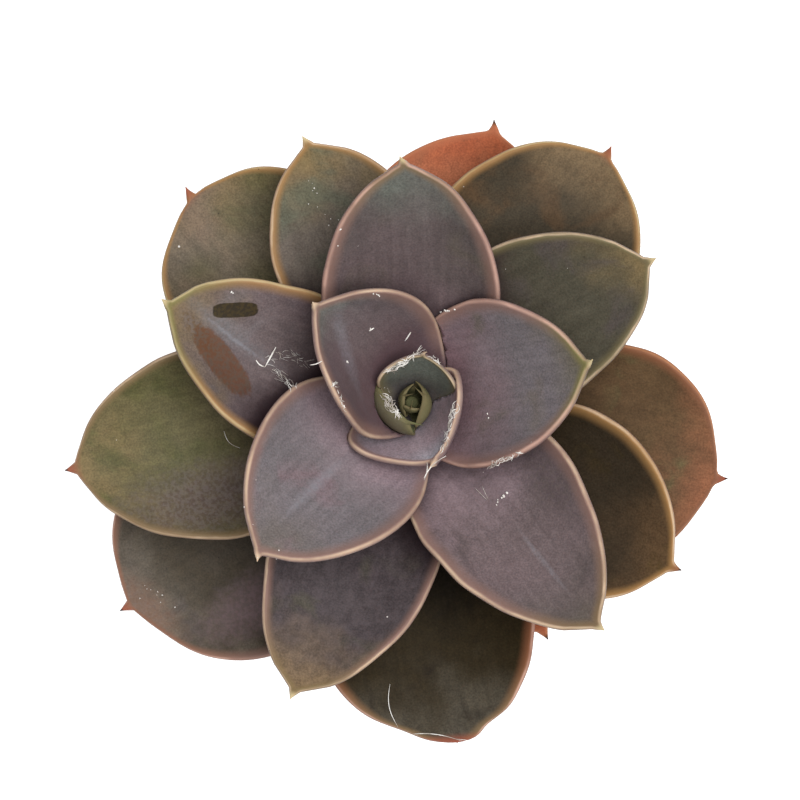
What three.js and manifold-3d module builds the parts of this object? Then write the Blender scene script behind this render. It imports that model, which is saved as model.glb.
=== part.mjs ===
// A potted rosette succulent: a plain clay pot, its soil, a short stout stem and a spiral of thick
// pointed leaves that opens wide over the pot's rim. Millimetres, +Z up, and the origin at the middle
// of the pot's foot. Seen from above, +X is to the right and +Y is away from the viewer.
import * as THREE from "three";
import { mergeVertices } from "three/addons/utils/BufferGeometryUtils.js";
import Module from "manifold-3d";

const wasm = await Module();
wasm.setup();

// Driving dimensions
const GAP = 0.3; // between pieces that touch
const POT = {
  height: 80,
  rimRadius: 44.5,
  bandHeight: 19, // the thick band below the rim
  bandStep: 2.6, // how far the band stands out from the body
  footRadius: 29.5,
  wall: 5.2,
  floor: 7,
  holeRadius: 6,
  round: 1.6, // of the rim's edges and the foot's
  innerFoot: 2.5, // of the corner between the floor and the wall, inside
  sides: 36,
};
const SOIL = {
  below: 7, // its top under the pot's rim
  clearance: 0.4, // from the pot's wall
  edge: 0.8, // how far its top slopes down at the wall
  crumb: 0.7, // height of the crumbs on top
  crumbPitch: [1.9, 0.4, 1.7], // radians of their waves a millimetre
  rings: 5, // of crumbs
};
const STEM = {
  offset: [2.5, 5.25], // where it stands from the pot's middle, so that the crown overhangs evenly
  footZ: 44, // its lower end, in the soil
  footRadius: 5,
  footTaper: 16, // height over which it widens from the foot
  radius: 8,
  shoulderZ: 88, // above this it narrows to the growing tip
  topZ: 115,
  topRadius: 1.3,
  topTaper: 1.3, // 1 narrows it as a cone, and more keeps it stout for longer
  sides: 18,
};
const CROWN = { firstZ: 82, lastZ: 114, rootDepth: 3 }; // heights of the lowest and highest leaf roots
const BLADE = {
  stations: 12, // along a leaf
  strips: 6, // across it
  crowding: 1.1, // of the stations towards the root
  rim: 1.5, // thickness of the margin
  rimMost: 1.6, // of the half width there, where the leaf runs out into its tip
  bellyEdge: 2.4, // power by which the thickness falls off to the margin
  creaseRound: 1.5, // how softly the fold along the midrib turns
  fullWidth: 32, // a narrower leaf is thinner too
  wrap: 2.6, // most that half a blade turns round the stem, in radians
  taper: [1, 0.55], // power of the end's outline on a tapering and on a full leaf
};
const POINT = {
  halfWidth: 0.4, // at the very tip
  flare: 0.35, // growth of the half width with the distance from the tip, to the power below
  power: 1.2,
  reach: 6, // beyond this it grows no wider
  blend: 2.1, // how sharply it leaves the blade's rounded end
};

// How a leaf changes from the oldest, 0, to the youngest, 1
const AGE = {
  rootPitch: [18, 100],
  middlePitch: [8, 84],
  tipPitch: [14, 80],
  quickening: 2.2, // the pitch grows with this power of the age
  widest: [0.56, 0.42], // place of the greatest width
  spine: [2.3, 2], // length of the pointed tip beyond the blade's rounded end
  belly: [3.6, 2], // thickness added in the middle of the blade
  cup: [24, 44], // half-angle of the trough across the blade, in degrees
};

// The leaves from the oldest to the youngest. azimuth and reach give the tip as seen from above, and hook
// bends its last millimetres to the left. bow is how far the blade's middle stands to the left, roll lifts
// the left edge and lift the whole blade, in degrees, and crease is the slope of a fold along the midrib.
// blunt rounds the blade's end, from 0, tapering, to 1, full. neck is the width at the root, as a share of
// the greatest, and hips above 1 keep the blade narrow for longer. The youngest stand upright in the bud:
// they give a length and pitches in degrees, of the root, the middle and the tip, in place of a reach.
const LEAVES = [
  { azimuth: 21, reach: 54, width: 34, lift: -2 },
  { azimuth: 159, reach: 60, width: 37, lift: -2 },
  { azimuth: 300, reach: 62, width: 38, lift: -2 },
  { azimuth: 72, reach: 66.5, width: 49, hook: 2, lift: -1 },
  { azimuth: 215.5, reach: 80, width: 54, bow: 3, widest: 0.64, blunt: 0.95 },
  { azimuth: 344.8, reach: 72.5, width: 49, bow: 1, hook: 2.2, widest: 0.62, blunt: 1 },
  { azimuth: 138, reach: 69.5, width: 48, hook: -2, widest: 0.6, blunt: 1.05 },
  { azimuth: 274.6, reach: 75, width: 51, bow: -1, hook: 4.5, widest: 0.58, blunt: 1.15 },
  { azimuth: 51, reach: 71.5, width: 47, hook: 1.4, widest: 0.56, blunt: 0.9 },
  { azimuth: 191, reach: 77, width: 44.5, widest: 0.53, blunt: 0.75 },
  { azimuth: 326.5, reach: 69, width: 41, bow: 1.5, hook: 2, roll: 5, widest: 0.58, neck: 0.2, hips: 1.5 },
  { azimuth: 111.4, reach: 62.5, width: 35, hook: 1, widest: 0.56 },
  { azimuth: 247.6, reach: 68.5, width: 37, bow: 1 },
  { azimuth: 30.7, reach: 60.5, width: 37, bow: 2 },
  { azimuth: 157.5, reach: 57.5, width: 35, bow: 4, roll: 8, crease: 0.15 },
  { azimuth: 308.7, reach: 62, width: 36.5, bow: 1, hook: 1.6, blunt: 0.4, crease: 0.15 },
  { azimuth: 91, reach: 51.5, width: 39.5, hook: 1.7, blunt: 0.65 },
  { azimuth: 222.5, reach: 46, width: 39, bow: -1, hook: 2.4, blunt: 0.4 },
  { azimuth: 10.6, reach: 38.3, width: 37, bow: 1, hook: 2, roll: -6, blunt: 0.4, neck: 0.5 },
  { azimuth: 135, reach: 29.5, width: 31.5, bow: -0.2, hook: -0.2, roll: 17, crease: 0.4, neck: 0.6 },
  {
    azimuth: 292, reach: 14, width: 31, bow: -0.3, hook: -1.8, roll: 12, crease: 0.35, cup: 54, neck: 0.3,
    widest: 0.42, blunt: 0.95,
  },
  {
    azimuth: 80, reach: 11.3, width: 19, bow: -0.7, hook: -1.2, crease: 0.2, cup: 46, neck: 0.5, widest: 0.58,
    hips: 1.4, blunt: 1,
  },
  {
    azimuth: 218, length: 17.5, pitches: [22, 95, 150], width: 14.5, bow: -2.5, hook: 5.2, hookPower: 2,
    neck: 0.6,
  },
  {
    azimuth: 0, length: 12, pitches: [55, 92, 150], width: 10, bow: -1, hook: 3.5, hookPower: 2, crease: 0.8,
    cup: 30, neck: 0.7,
  },
  {
    azimuth: 165, length: 9, pitches: [60, 95, 145], width: 7.5, hook: -2, hookPower: 2, crease: 0.7, cup: 30,
    neck: 0.7,
  },
  { azimuth: 255, length: 7, pitches: [60, 105, 150], width: 6, crease: 0.6, cup: 30, neck: 0.7 },
];
const HEART = 2; // so many of the youngest are one with the stem

const radians = THREE.MathUtils.degToRad;
const lerp = THREE.MathUtils.lerp;
const UP = new THREE.Vector3(0, 0, 1);

function stemRadius(z) {
  const x = THREE.MathUtils.clamp((z - STEM.shoulderZ) / (STEM.topZ - STEM.shoulderZ), 0, 1);
  return lerp(STEM.radius, STEM.topRadius, x ** STEM.topTaper);
}

// A leaf's row with all that its age and its place on the stem decide
function grown(row, index) {
  const age = index / (LEAVES.length - 1);
  const pitch = (pair) => radians(lerp(...pair, age ** AGE.quickening) + (row.lift ?? 0));
  const rootZ = lerp(CROWN.firstZ, CROWN.lastZ, age);
  const size = Math.min(1, row.width / BLADE.fullWidth);
  return {
    bow: 0,
    hook: 0,
    hookPower: 16,
    roll: 0,
    crease: 0,
    blunt: 0.6,
    hips: 1,
    neck: 0.3,
    widest: lerp(...AGE.widest, age),
    spine: lerp(...AGE.spine, age),
    belly: lerp(...AGE.belly, age) * size,
    cup: lerp(...AGE.cup, age),
    ...row,
    size,
    pitches: row.pitches?.map(radians) ?? [AGE.rootPitch, AGE.middlePitch, AGE.tipPitch].map(pitch),
    rootZ,
    rootRadius: (stemRadius(rootZ) * (STEM.radius - CROWN.rootDepth)) / STEM.radius,
  };
}

// Half the blade's width at s from 0, the root, to 1, the tip, on a leaf of that length
function halfWidth(leaf, s, length) {
  const bladeEnd = 1 - leaf.spine / length;
  let blade = 0;
  if (s < leaf.widest) {
    blade = lerp(leaf.neck, 1, Math.sin((Math.PI / 2) * (s / leaf.widest)) ** leaf.hips);
  } else if (s < bladeEnd) {
    const x = (s - leaf.widest) / (bladeEnd - leaf.widest);
    blade = (1 - x ** 2) ** lerp(...BLADE.taper, leaf.blunt);
  }
  blade *= leaf.width / 2;
  const fromTip = Math.min((1 - s) * length, POINT.reach);
  const point = leaf.size * (POINT.halfWidth + POINT.flare * fromTip ** POINT.power);
  return (blade ** POINT.blend + point ** POINT.blend) ** (1 / POINT.blend);
}

// Pitch of the midrib at s: the quadratic through the root's, the middle's and the tip's pitch
function pitchAt(leaf, s) {
  const [root, middle, tip] = leaf.pitches;
  return root * (1 - s) * (1 - 2 * s) + middle * 4 * s * (1 - s) + tip * s * (2 * s - 1);
}

// The midrib's length and its distance from the stem's axis and height at s
function midrib(leaf) {
  const steps = 48;
  const points = [new THREE.Vector2()];
  for (let i = 0; i < steps; i++) {
    const pitch = pitchAt(leaf, (i + 0.5) / steps);
    const step = new THREE.Vector2(Math.cos(pitch), Math.sin(pitch)).divideScalar(steps);
    points.push(step.add(points[i]));
  }
  const length = leaf.length ?? (leaf.reach - leaf.rootRadius) / points[steps].x;
  const at = (s) => {
    const i = Math.min(steps - 1, Math.floor(s * steps));
    const point = points[i].clone().lerp(points[i + 1], s * steps - i);
    return point.multiplyScalar(length).add(new THREE.Vector2(leaf.rootRadius, leaf.rootZ));
  };
  return { length, at };
}

// The blade's section at s: points over the upper face from the left margin to the right one, then back
// under the lower face. grow thickens it on all sides.
function section(leaf, rib, s, grow) {
  const half = halfWidth(leaf, s, rib.length) + grow;
  const [r, z] = rib.at(s).toArray();
  const pitch = pitchAt(leaf, s);
  const azimuth = radians(leaf.azimuth);
  const out = new THREE.Vector3(Math.cos(azimuth), Math.sin(azimuth), 0);
  const along = out.clone().multiplyScalar(Math.cos(pitch)).addScaledVector(UP, Math.sin(pitch));
  const left = new THREE.Vector3().crossVectors(UP, out).applyAxisAngle(along, radians(leaf.roll));
  const normal = new THREE.Vector3().crossVectors(along, left);
  const centre = out.clone().multiplyScalar(r).addScaledVector(UP, z);
  centre.addScaledVector(left, leaf.bow * 4 * s * (1 - s) + leaf.hook * s ** leaf.hookPower);
  centre.add(new THREE.Vector3(...STEM.offset, 0));

  // Near the stem the trough narrows to clasp it
  const trough = radians(leaf.cup) / (leaf.width / 2);
  const clasp = ((1 - s) ** 2 * Math.sin(pitch)) / r;
  const bend = Math.min((trough ** 4 + clasp ** 4) ** (1 / 4), BLADE.wrap / half);
  const rim = Math.min(BLADE.rim * leaf.size, BLADE.rimMost * half);
  const belly = leaf.belly * Math.sin(Math.PI * (0.3 + 0.7 * s)) ** 0.8;
  const place = (v, depth) => {
    const turn = bend * half * v;
    const across = Math.sin(turn) / bend;
    const fold = leaf.crease * s * (Math.hypot(across, BLADE.creaseRound) - BLADE.creaseRound);
    return centre
      .clone()
      .addScaledVector(left, across + Math.sin(turn) * depth)
      .addScaledVector(normal, (1 - Math.cos(turn)) / bend + fold - Math.cos(turn) * depth);
  };
  const upper = [];
  const lower = [];
  for (let j = 0; j <= BLADE.strips; j++) {
    const v = Math.sin((Math.PI / 2) * (1 - (2 * j) / BLADE.strips));
    upper.push(place(v, -grow));
    lower.push(place(v, rim + belly * (1 - Math.abs(v) ** BLADE.bellyEdge) + grow));
  }
  return [...upper, ...lower.reverse()];
}

// A closed geometry through rings of the same number of points, each end closed by strips from face to face
function skin(rings) {
  const size = rings[0].length;
  const faces = [];
  for (let i = 0; i + 1 < rings.length; i++) {
    for (let j = 0; j < size; j++) {
      const [a, b] = [i * size + j, i * size + ((j + 1) % size)];
      faces.push(a, b, a + size, b, b + size, a + size);
    }
  }
  const last = (rings.length - 1) * size;
  for (let j = 0; j < size / 2 - 1; j++) {
    const [a, b, c, d] = [j, j + 1, size - 1 - j, size - 2 - j];
    faces.push(a, c, b, b, c, d);
    faces.push(last + a, last + b, last + c, last + b, last + d, last + c);
  }
  const positions = rings.flat().flatMap((p) => p.toArray());
  return new THREE.BufferGeometry()
    .setAttribute("position", new THREE.Float32BufferAttribute(positions, 3))
    .setIndex(faces);
}

function bladeGeometry(leaf, grow = 0) {
  const rib = midrib(leaf);
  const rings = [];
  for (let i = 0; i <= BLADE.stations; i++) {
    const s = Math.sin((Math.PI / 2) * (i / BLADE.stations)) ** BLADE.crowding;
    rings.push(section(leaf, rib, s, grow));
  }
  return skin(rings);
}

// A solid from a closed geometry, and a geometry from a solid
function solidOf(geometry) {
  const bare = new THREE.BufferGeometry().setAttribute("position", geometry.getAttribute("position"));
  bare.setIndex(geometry.index);
  const merged = mergeVertices(bare, 1e-4);
  return new wasm.Manifold(
    new wasm.Mesh({
      numProp: 3,
      vertProperties: merged.attributes.position.array,
      triVerts: new Uint32Array(merged.index.array),
    }),
  );
}

function geometryOf(solid) {
  const mesh = solid.getMesh();
  return new THREE.BufferGeometry()
    .setAttribute("position", new THREE.BufferAttribute(mesh.vertProperties, 3))
    .setIndex(new THREE.BufferAttribute(mesh.triVerts, 1));
}

// The largest body of a solid, so that a cut leaves no loose crumb
function largest(solid) {
  return solid.decompose().reduce((a, b) => (b.volume() > a.volume() ? b : a));
}

// A turned geometry from [radius, height] pairs, standing on the origin
function turned(profile, sides) {
  const points = profile.map(([r, z]) => new THREE.Vector2(r, z));
  return new THREE.LatheGeometry(points, sides).rotateX(Math.PI / 2);
}

// The pot's inner wall from the floor to the rim, drawn in by inset
function cavity(inset) {
  const { height, rimRadius, bandHeight, bandStep, footRadius, wall, floor, round, innerFoot } = POT;
  const radius = -wall - inset;
  return [
    [footRadius + radius - innerFoot / 2, floor],
    [footRadius + radius + innerFoot / 2, floor + innerFoot],
    [rimRadius - bandStep + radius, height - bandHeight],
    [rimRadius + radius, height - round],
  ];
}

function potGeometry() {
  const { height, rimRadius, bandHeight, bandStep, footRadius, wall, floor, holeRadius, round } = POT;
  const bandFoot = height - bandHeight;
  return turned(
    [
      [holeRadius, 0],
      [footRadius - round, 0],
      [footRadius, round],
      [rimRadius - bandStep - round / 2, bandFoot - round / 2],
      [rimRadius - round / 2, bandFoot],
      [rimRadius, bandFoot + round / 2],
      [rimRadius, height - round],
      [rimRadius - round / 3, height - round / 3],
      [rimRadius - round, height],
      [rimRadius - wall + round, height],
      [rimRadius - wall + round / 3, height - round / 3],
      ...cavity(0).reverse(),
      [holeRadius, floor],
      [holeRadius, 0],
    ],
    POT.sides,
  );
}

// The soil fills the pot, and sine waves stand for the crumbs on top
function soilGeometry() {
  const top = POT.height - SOIL.below;
  const [floor, corner, shoulder, rim] = cavity(SOIL.clearance);
  const edge = lerp(shoulder[0], rim[0], (top - SOIL.edge - shoulder[1]) / (rim[1] - shoulder[1]));
  const foot = floor[1] + GAP;
  const profile = [[0, foot], [floor[0], foot], corner, shoulder, [edge, top - SOIL.edge]];
  for (let i = 0; i <= SOIL.rings; i++) {
    profile.push([(edge - SOIL.edge) * (1 - i / SOIL.rings), top]);
  }
  const geometry = turned(profile, POT.sides);
  const position = geometry.getAttribute("position");
  const [alongX, slant, alongY] = SOIL.crumbPitch;
  for (let i = 0; i < position.count; i++) {
    const [x, y, z] = [position.getX(i), position.getY(i), position.getZ(i)];
    const wave = Math.sin(alongX * x + slant * y) * Math.sin(alongY * y);
    if (z > top - SOIL.edge / 2) position.setZ(i, z + SOIL.crumb * wave);
  }
  return geometry;
}

// grow thickens the stem on all sides
function stemGeometry(grow = 0) {
  const profile = [
    [0, STEM.footZ - grow],
    [STEM.footRadius / 2 + grow, STEM.footZ - grow],
    [STEM.footRadius + grow, STEM.footZ + STEM.footRadius / 2],
    [STEM.radius + grow, STEM.footZ + STEM.footTaper],
  ];
  const steps = 7;
  for (let i = 0; i <= steps; i++) {
    const z = lerp(STEM.shoulderZ, STEM.topZ, i / steps);
    profile.push([stemRadius(z) + grow, z]);
  }
  profile.push([0, STEM.topZ + STEM.topRadius / 2 + grow]);
  return turned(profile, STEM.sides).translate(...STEM.offset, 0);
}

function finish(color, roughness) {
  return new THREE.MeshStandardMaterial({ color, roughness, metalness: 0 });
}

// The leaves turn from olive brown, when old, to a powdery mauve grey
function leafFinish(age) {
  const color = new THREE.Color(0x6b5638).lerp(new THREE.Color(0x85737a), age);
  return finish(color, 0.6);
}

const plant = new THREE.Group();
function add(name, geometry, material) {
  const mesh = new THREE.Mesh(geometry, material);
  mesh.name = name;
  plant.add(mesh);
}

// A leaf's solid, and the room it takes with the gap around it
function bladeSolid(leaf) {
  return solidOf(bladeGeometry(leaf));
}

function roomFor(leaf) {
  return bladeSolid(leaf).add(solidOf(bladeGeometry(leaf, GAP)));
}

// Each leaf is pressed in by the stem and by the younger leaves above it, with a gap all round
const leaves = LEAVES.map(grown);
const single = leaves.slice(0, leaves.length - HEART);
const heart = leaves.slice(leaves.length - HEART);
const stem = heart.reduce((solid, leaf) => solid.add(bladeSolid(leaf)), solidOf(stemGeometry()));
const stemRoom = heart.reduce((solid, leaf) => solid.add(roomFor(leaf)), solidOf(stemGeometry(GAP)));
const rooms = single.map(roomFor);
single.forEach((leaf, i) => {
  const pressed = rooms.slice(i + 1).reduce((solid, room) => solid.subtract(room), bladeSolid(leaf));
  const name = `leaf_${String(i + 1).padStart(2, "0")}`;
  add(name, geometryOf(largest(pressed.subtract(stemRoom))), leafFinish(i / single.length));
});
add("stem", geometryOf(stem), finish(0x6d5a45, 0.85));
add("soil", geometryOf(solidOf(soilGeometry()).subtract(stemRoom)), finish(0x3a2b22, 1));
add("pot", potGeometry(), finish(0xb5654a, 0.9));

export default plant;
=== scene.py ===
"""Looks of a potted rosette succulent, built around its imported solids.

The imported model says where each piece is. A finer leaf, with a rounded margin and a spiny tip, takes the
place of each packed leaf, and finer pieces take the place of the stem, the soil and the pot. Grit lies on
the soil, and threads and flakes of fluff lie on the leaves. Lengths named in a class are millimetres, and
the meshes are in metres, +Z up.
"""

import logging
import math
import random
from dataclasses import dataclass, field, replace
from enum import Enum
from typing import Callable, Iterable, Optional, Sequence, Union

import bmesh
import bpy
from mathutils import Matrix, Vector, noise
from mathutils.bvhtree import BVHTree


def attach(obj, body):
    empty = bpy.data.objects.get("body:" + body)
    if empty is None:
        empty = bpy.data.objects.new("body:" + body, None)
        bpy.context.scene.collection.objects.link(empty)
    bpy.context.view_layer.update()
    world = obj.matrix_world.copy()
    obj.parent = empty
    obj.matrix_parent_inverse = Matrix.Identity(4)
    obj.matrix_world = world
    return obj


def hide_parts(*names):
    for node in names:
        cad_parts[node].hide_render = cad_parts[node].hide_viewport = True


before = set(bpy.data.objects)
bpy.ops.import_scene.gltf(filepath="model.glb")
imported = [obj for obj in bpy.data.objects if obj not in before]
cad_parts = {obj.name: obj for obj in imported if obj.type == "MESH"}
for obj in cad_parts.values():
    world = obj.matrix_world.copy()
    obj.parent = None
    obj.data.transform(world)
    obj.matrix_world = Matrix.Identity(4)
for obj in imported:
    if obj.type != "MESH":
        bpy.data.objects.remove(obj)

MM = 0.001
UP = Vector((0.0, 0.0, 1.0))
BODY = "root"
STEM_OFFSET = Vector((2.5, 5.25, 0.0))
LOG = logging.getLogger("echeveria")

Value = Union[bpy.types.NodeSocket, float, Sequence[float]]


def lerp(low: float, high: float, share: float) -> float:
    """The value at that share of the way from low to high."""
    return low + (high - low) * share


def smooth(edge: float, full: float, value: float) -> float:
    """A soft step: 0 at edge, 1 at full."""
    share = min(1.0, max(0.0, (value - edge) / (full - edge)))
    return share * share * (3.0 - 2.0 * share)


class Tone(Enum):
    """The colours of the plant, its soil and its pot, as they look in even light. Some serve as painted
    shade.
    """

    CREAM = "ceb498"
    STRAW = "beac84"
    ROSY = "c6a090"
    PEACH = "b07c58"
    GOLD = "7a6448"
    HONEY = "987348"
    ROSE = "86685e"
    BRICK = "a86446"
    EMBER = "964a2c"
    RUSSET = "8c4c3a"
    RUST = "84553c"
    CHESTNUT = "5c3a24"
    TOFFEE = "805a46"
    SEPIA = "54402c"
    UMBER = "50463a"
    BARK = "3e362a"
    SMUT = "2a2214"
    TAR = "403418"
    CHAR_AND_SHADOW = "080604"
    COFFEE = "30281e"
    SHADOW = "16100f"
    WINE = "40282e"
    SLOE = "2c1e22"
    OLIVE = "5a5438"
    LODEN = "484438"
    MURK = "463e40"
    FERN = "7a7446"
    LICHEN = "5e625a"
    MOSS = "4c4c2c"
    KHAKI = "6c6246"
    TAN = "766444"
    SAGE = "565a4a"
    LEEK = "686c48"
    STONE = "625a50"
    DRAB = "504a40"
    TAUPE = "625656"
    DUSK = "4e4644"
    PEWTER = "686264"
    MAUVE = "746064"
    BLUSH = "86686e"
    PETAL = "927e84"
    PLUM = "584448"
    LILAC = "7e747a"
    SLATE = "70757a"
    HAZE = "90929a"
    CORK = "7b6650"
    PEAT = "2e231b"
    PUMICE = "b3a894"
    CLAY = "b56a49"
    CLAY_PALE = "cf9573"
    CLAY_DARK = "8c4a31"
    LIME = "d9cdbd"
    FLUFF = "e6e2dc"

    @property
    def rgba(self) -> tuple[float, float, float, float]:
        """The colour in linear light, with an alpha of 1.

        Returns:
            Red, green, blue and alpha.
        """
        parts = [int(self.value[i : i + 2], 16) / 255.0 for i in (0, 2, 4)]
        linear = [p / 12.92 if p <= 0.04045 else ((p + 0.055) / 1.055) ** 2.4 for p in parts]
        return (*linear, 1.0)


class Graph:
    """A node tree with short calls for the nodes that the finishes use."""

    MIX_INPUTS, MIX_RESULT = (0, 6, 7), 2  # the sockets of a mix of two colours

    def __init__(self, tree: bpy.types.NodeTree) -> None:
        """Keeps the tree that the calls add to."""
        self.tree = tree

    def feed(self, socket: bpy.types.NodeSocket, value: Value) -> None:
        """Links a socket to another one, or sets it.

        Args:
            socket: The input that takes the value.
            value: An output socket, a number or a colour.
        """
        if isinstance(value, bpy.types.NodeSocket):
            self.tree.links.new(value, socket)
        else:
            socket.default_value = value

    def add(self, kind: str, inputs: Optional[dict] = None, **settings: object) -> bpy.types.Node:
        """Adds a node.

        Args:
            kind: The node's type.
            inputs: Values by the name or number of the input.
            settings: The node's own properties.

        Returns:
            The new node.
        """
        node = self.tree.nodes.new(kind)
        for name, setting in settings.items():
            setattr(node, name, setting)
        for name, value in (inputs or {}).items():
            self.feed(node.inputs[name], value)
        return node

    def math(self, operation: str, *values: Value) -> bpy.types.NodeSocket:
        """The result of one sum on one to three values."""
        return self.add("ShaderNodeMath", dict(enumerate(values)), operation=operation).outputs[0]

    def product(self, first: Value, *others: Value) -> bpy.types.NodeSocket:
        """The product of two or more values.

        Args:
            first: The first value.
            others: What it is multiplied by, in turn.

        Returns:
            The product.
        """
        for other in others:
            first = self.math("MULTIPLY", first, other)
        return first

    def sway(self, noise_value: Value, amount: Value, base: Value) -> bpy.types.NodeSocket:
        """A value moved up and down by noise from 0 to 1."""
        return self.math("MULTIPLY_ADD", self.math("SUBTRACT", noise_value, 0.5), amount, base)

    def step(self, value: Value, edge: Value, full: Value) -> bpy.types.NodeSocket:
        """A soft step of a value, 0 at edge and 1 at full."""
        inputs = {"Value": value, "From Min": edge, "From Max": full}
        return self.add("ShaderNodeMapRange", inputs, interpolation_type="SMOOTHSTEP").outputs[0]

    def fall(self, value: Value, edge: Value, full: Value) -> bpy.types.NodeSocket:
        """A soft step down of a value, 1 at edge and 0 at full."""
        return self.math("SUBTRACT", 1.0, self.step(value, edge, full))

    def grey(self, value: Value) -> bpy.types.NodeSocket:
        """A grey of that lightness."""
        return self.add("ShaderNodeCombineColor", {0: value, 1: value, 2: value}).outputs[0]

    def point(self, *parts: Value) -> bpy.types.NodeSocket:
        """A vector from its first parts, with 0 for the others."""
        return self.add("ShaderNodeCombineXYZ", dict(enumerate(parts))).outputs[0]

    def parts(self, vector: Value) -> Sequence[bpy.types.NodeSocket]:
        """The three parts of a vector."""
        return self.add("ShaderNodeSeparateXYZ", {0: vector}).outputs

    def mix(self, share: Value, first: Value, second: Value, blend: str = "MIX") -> bpy.types.NodeSocket:
        """A mix of two colours.

        Args:
            share: How much of the second colour.
            first: The colour at a share of 0.
            second: The colour at a share of 1.
            blend: How the second one is laid over the first.

        Returns:
            The mixed colour.
        """
        node = self.add("ShaderNodeMix", data_type="RGBA", blend_type=blend)
        for number, value in zip(self.MIX_INPUTS, (share, first, second)):
            self.feed(node.inputs[number], value)
        return node.outputs[self.MIX_RESULT]

    def grain(
        self, place: Value, size: float, detail: float = 2.0, stretch: float = 0.0
    ) -> bpy.types.NodeSocket:
        """Noise from 0 to 1.

        Args:
            place: The coordinates it is read at, in metres.
            size: The size of its lumps, in millimetres.
            detail: How many finer layers it has.
            stretch: How far it is drawn out of shape.

        Returns:
            The noise's value.
        """
        scale = 1.0 / (size * MM)
        inputs = {"Vector": place, "Scale": scale, "Detail": detail, "Distortion": stretch}
        return self.add("ShaderNodeTexNoise", inputs).outputs["Fac"]

    def place(self) -> bpy.types.NodeSocket:
        """The object's own coordinates, in metres."""
        return self.add("ShaderNodeTexCoord").outputs["Object"]

    def attribute(self, name: str, output: str = "Fac") -> bpy.types.NodeSocket:
        """A value that the mesh carries."""
        return self.add("ShaderNodeAttribute", attribute_name=name).outputs[output]


class Effect:
    """A group of nodes that several finishes share, made once."""

    VECTORS = {"Place", "Centre", "Half"}
    COLORS = {
        "Color", "Root", "Blade", "Tip", "Patch", "Edge", "Glow", "Flush", "Powder", "Light", "Dark",
    }

    def __init__(
        self, name: str, inputs: Sequence[str], outputs: Sequence[str], wire: Callable
    ) -> None:
        """Makes the group.

        Args:
            name: The group's name.
            inputs: The names of its inputs.
            outputs: The names of its outputs.
            wire: Takes the graph and the inputs by name, and returns the outputs by name.
        """
        self.tree = bpy.data.node_groups.new(name, "ShaderNodeTree")
        for way, sockets in (("INPUT", inputs), ("OUTPUT", outputs)):
            for socket in sockets:
                self.tree.interface.new_socket(socket, in_out=way, socket_type=self._kind(socket))
        graph = Graph(self.tree)
        entry = graph.add("NodeGroupInput")
        made = wire(graph, {socket: entry.outputs[socket] for socket in inputs})
        graph.add("NodeGroupOutput", made)

    @classmethod
    def _kind(cls, socket: str) -> str:
        """The type of a socket, by its name.

        Args:
            socket: The socket's name.

        Returns:
            Blender's name for the type.
        """
        if socket in cls.VECTORS:
            return "NodeSocketVector"
        return "NodeSocketColor" if socket in cls.COLORS else "NodeSocketFloat"

    def put(self, graph: Graph, **inputs: Value) -> bpy.types.Node:
        """Places the group in a graph, with its inputs by name."""
        return graph.add("ShaderNodeGroup", inputs, node_tree=self.tree)


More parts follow.
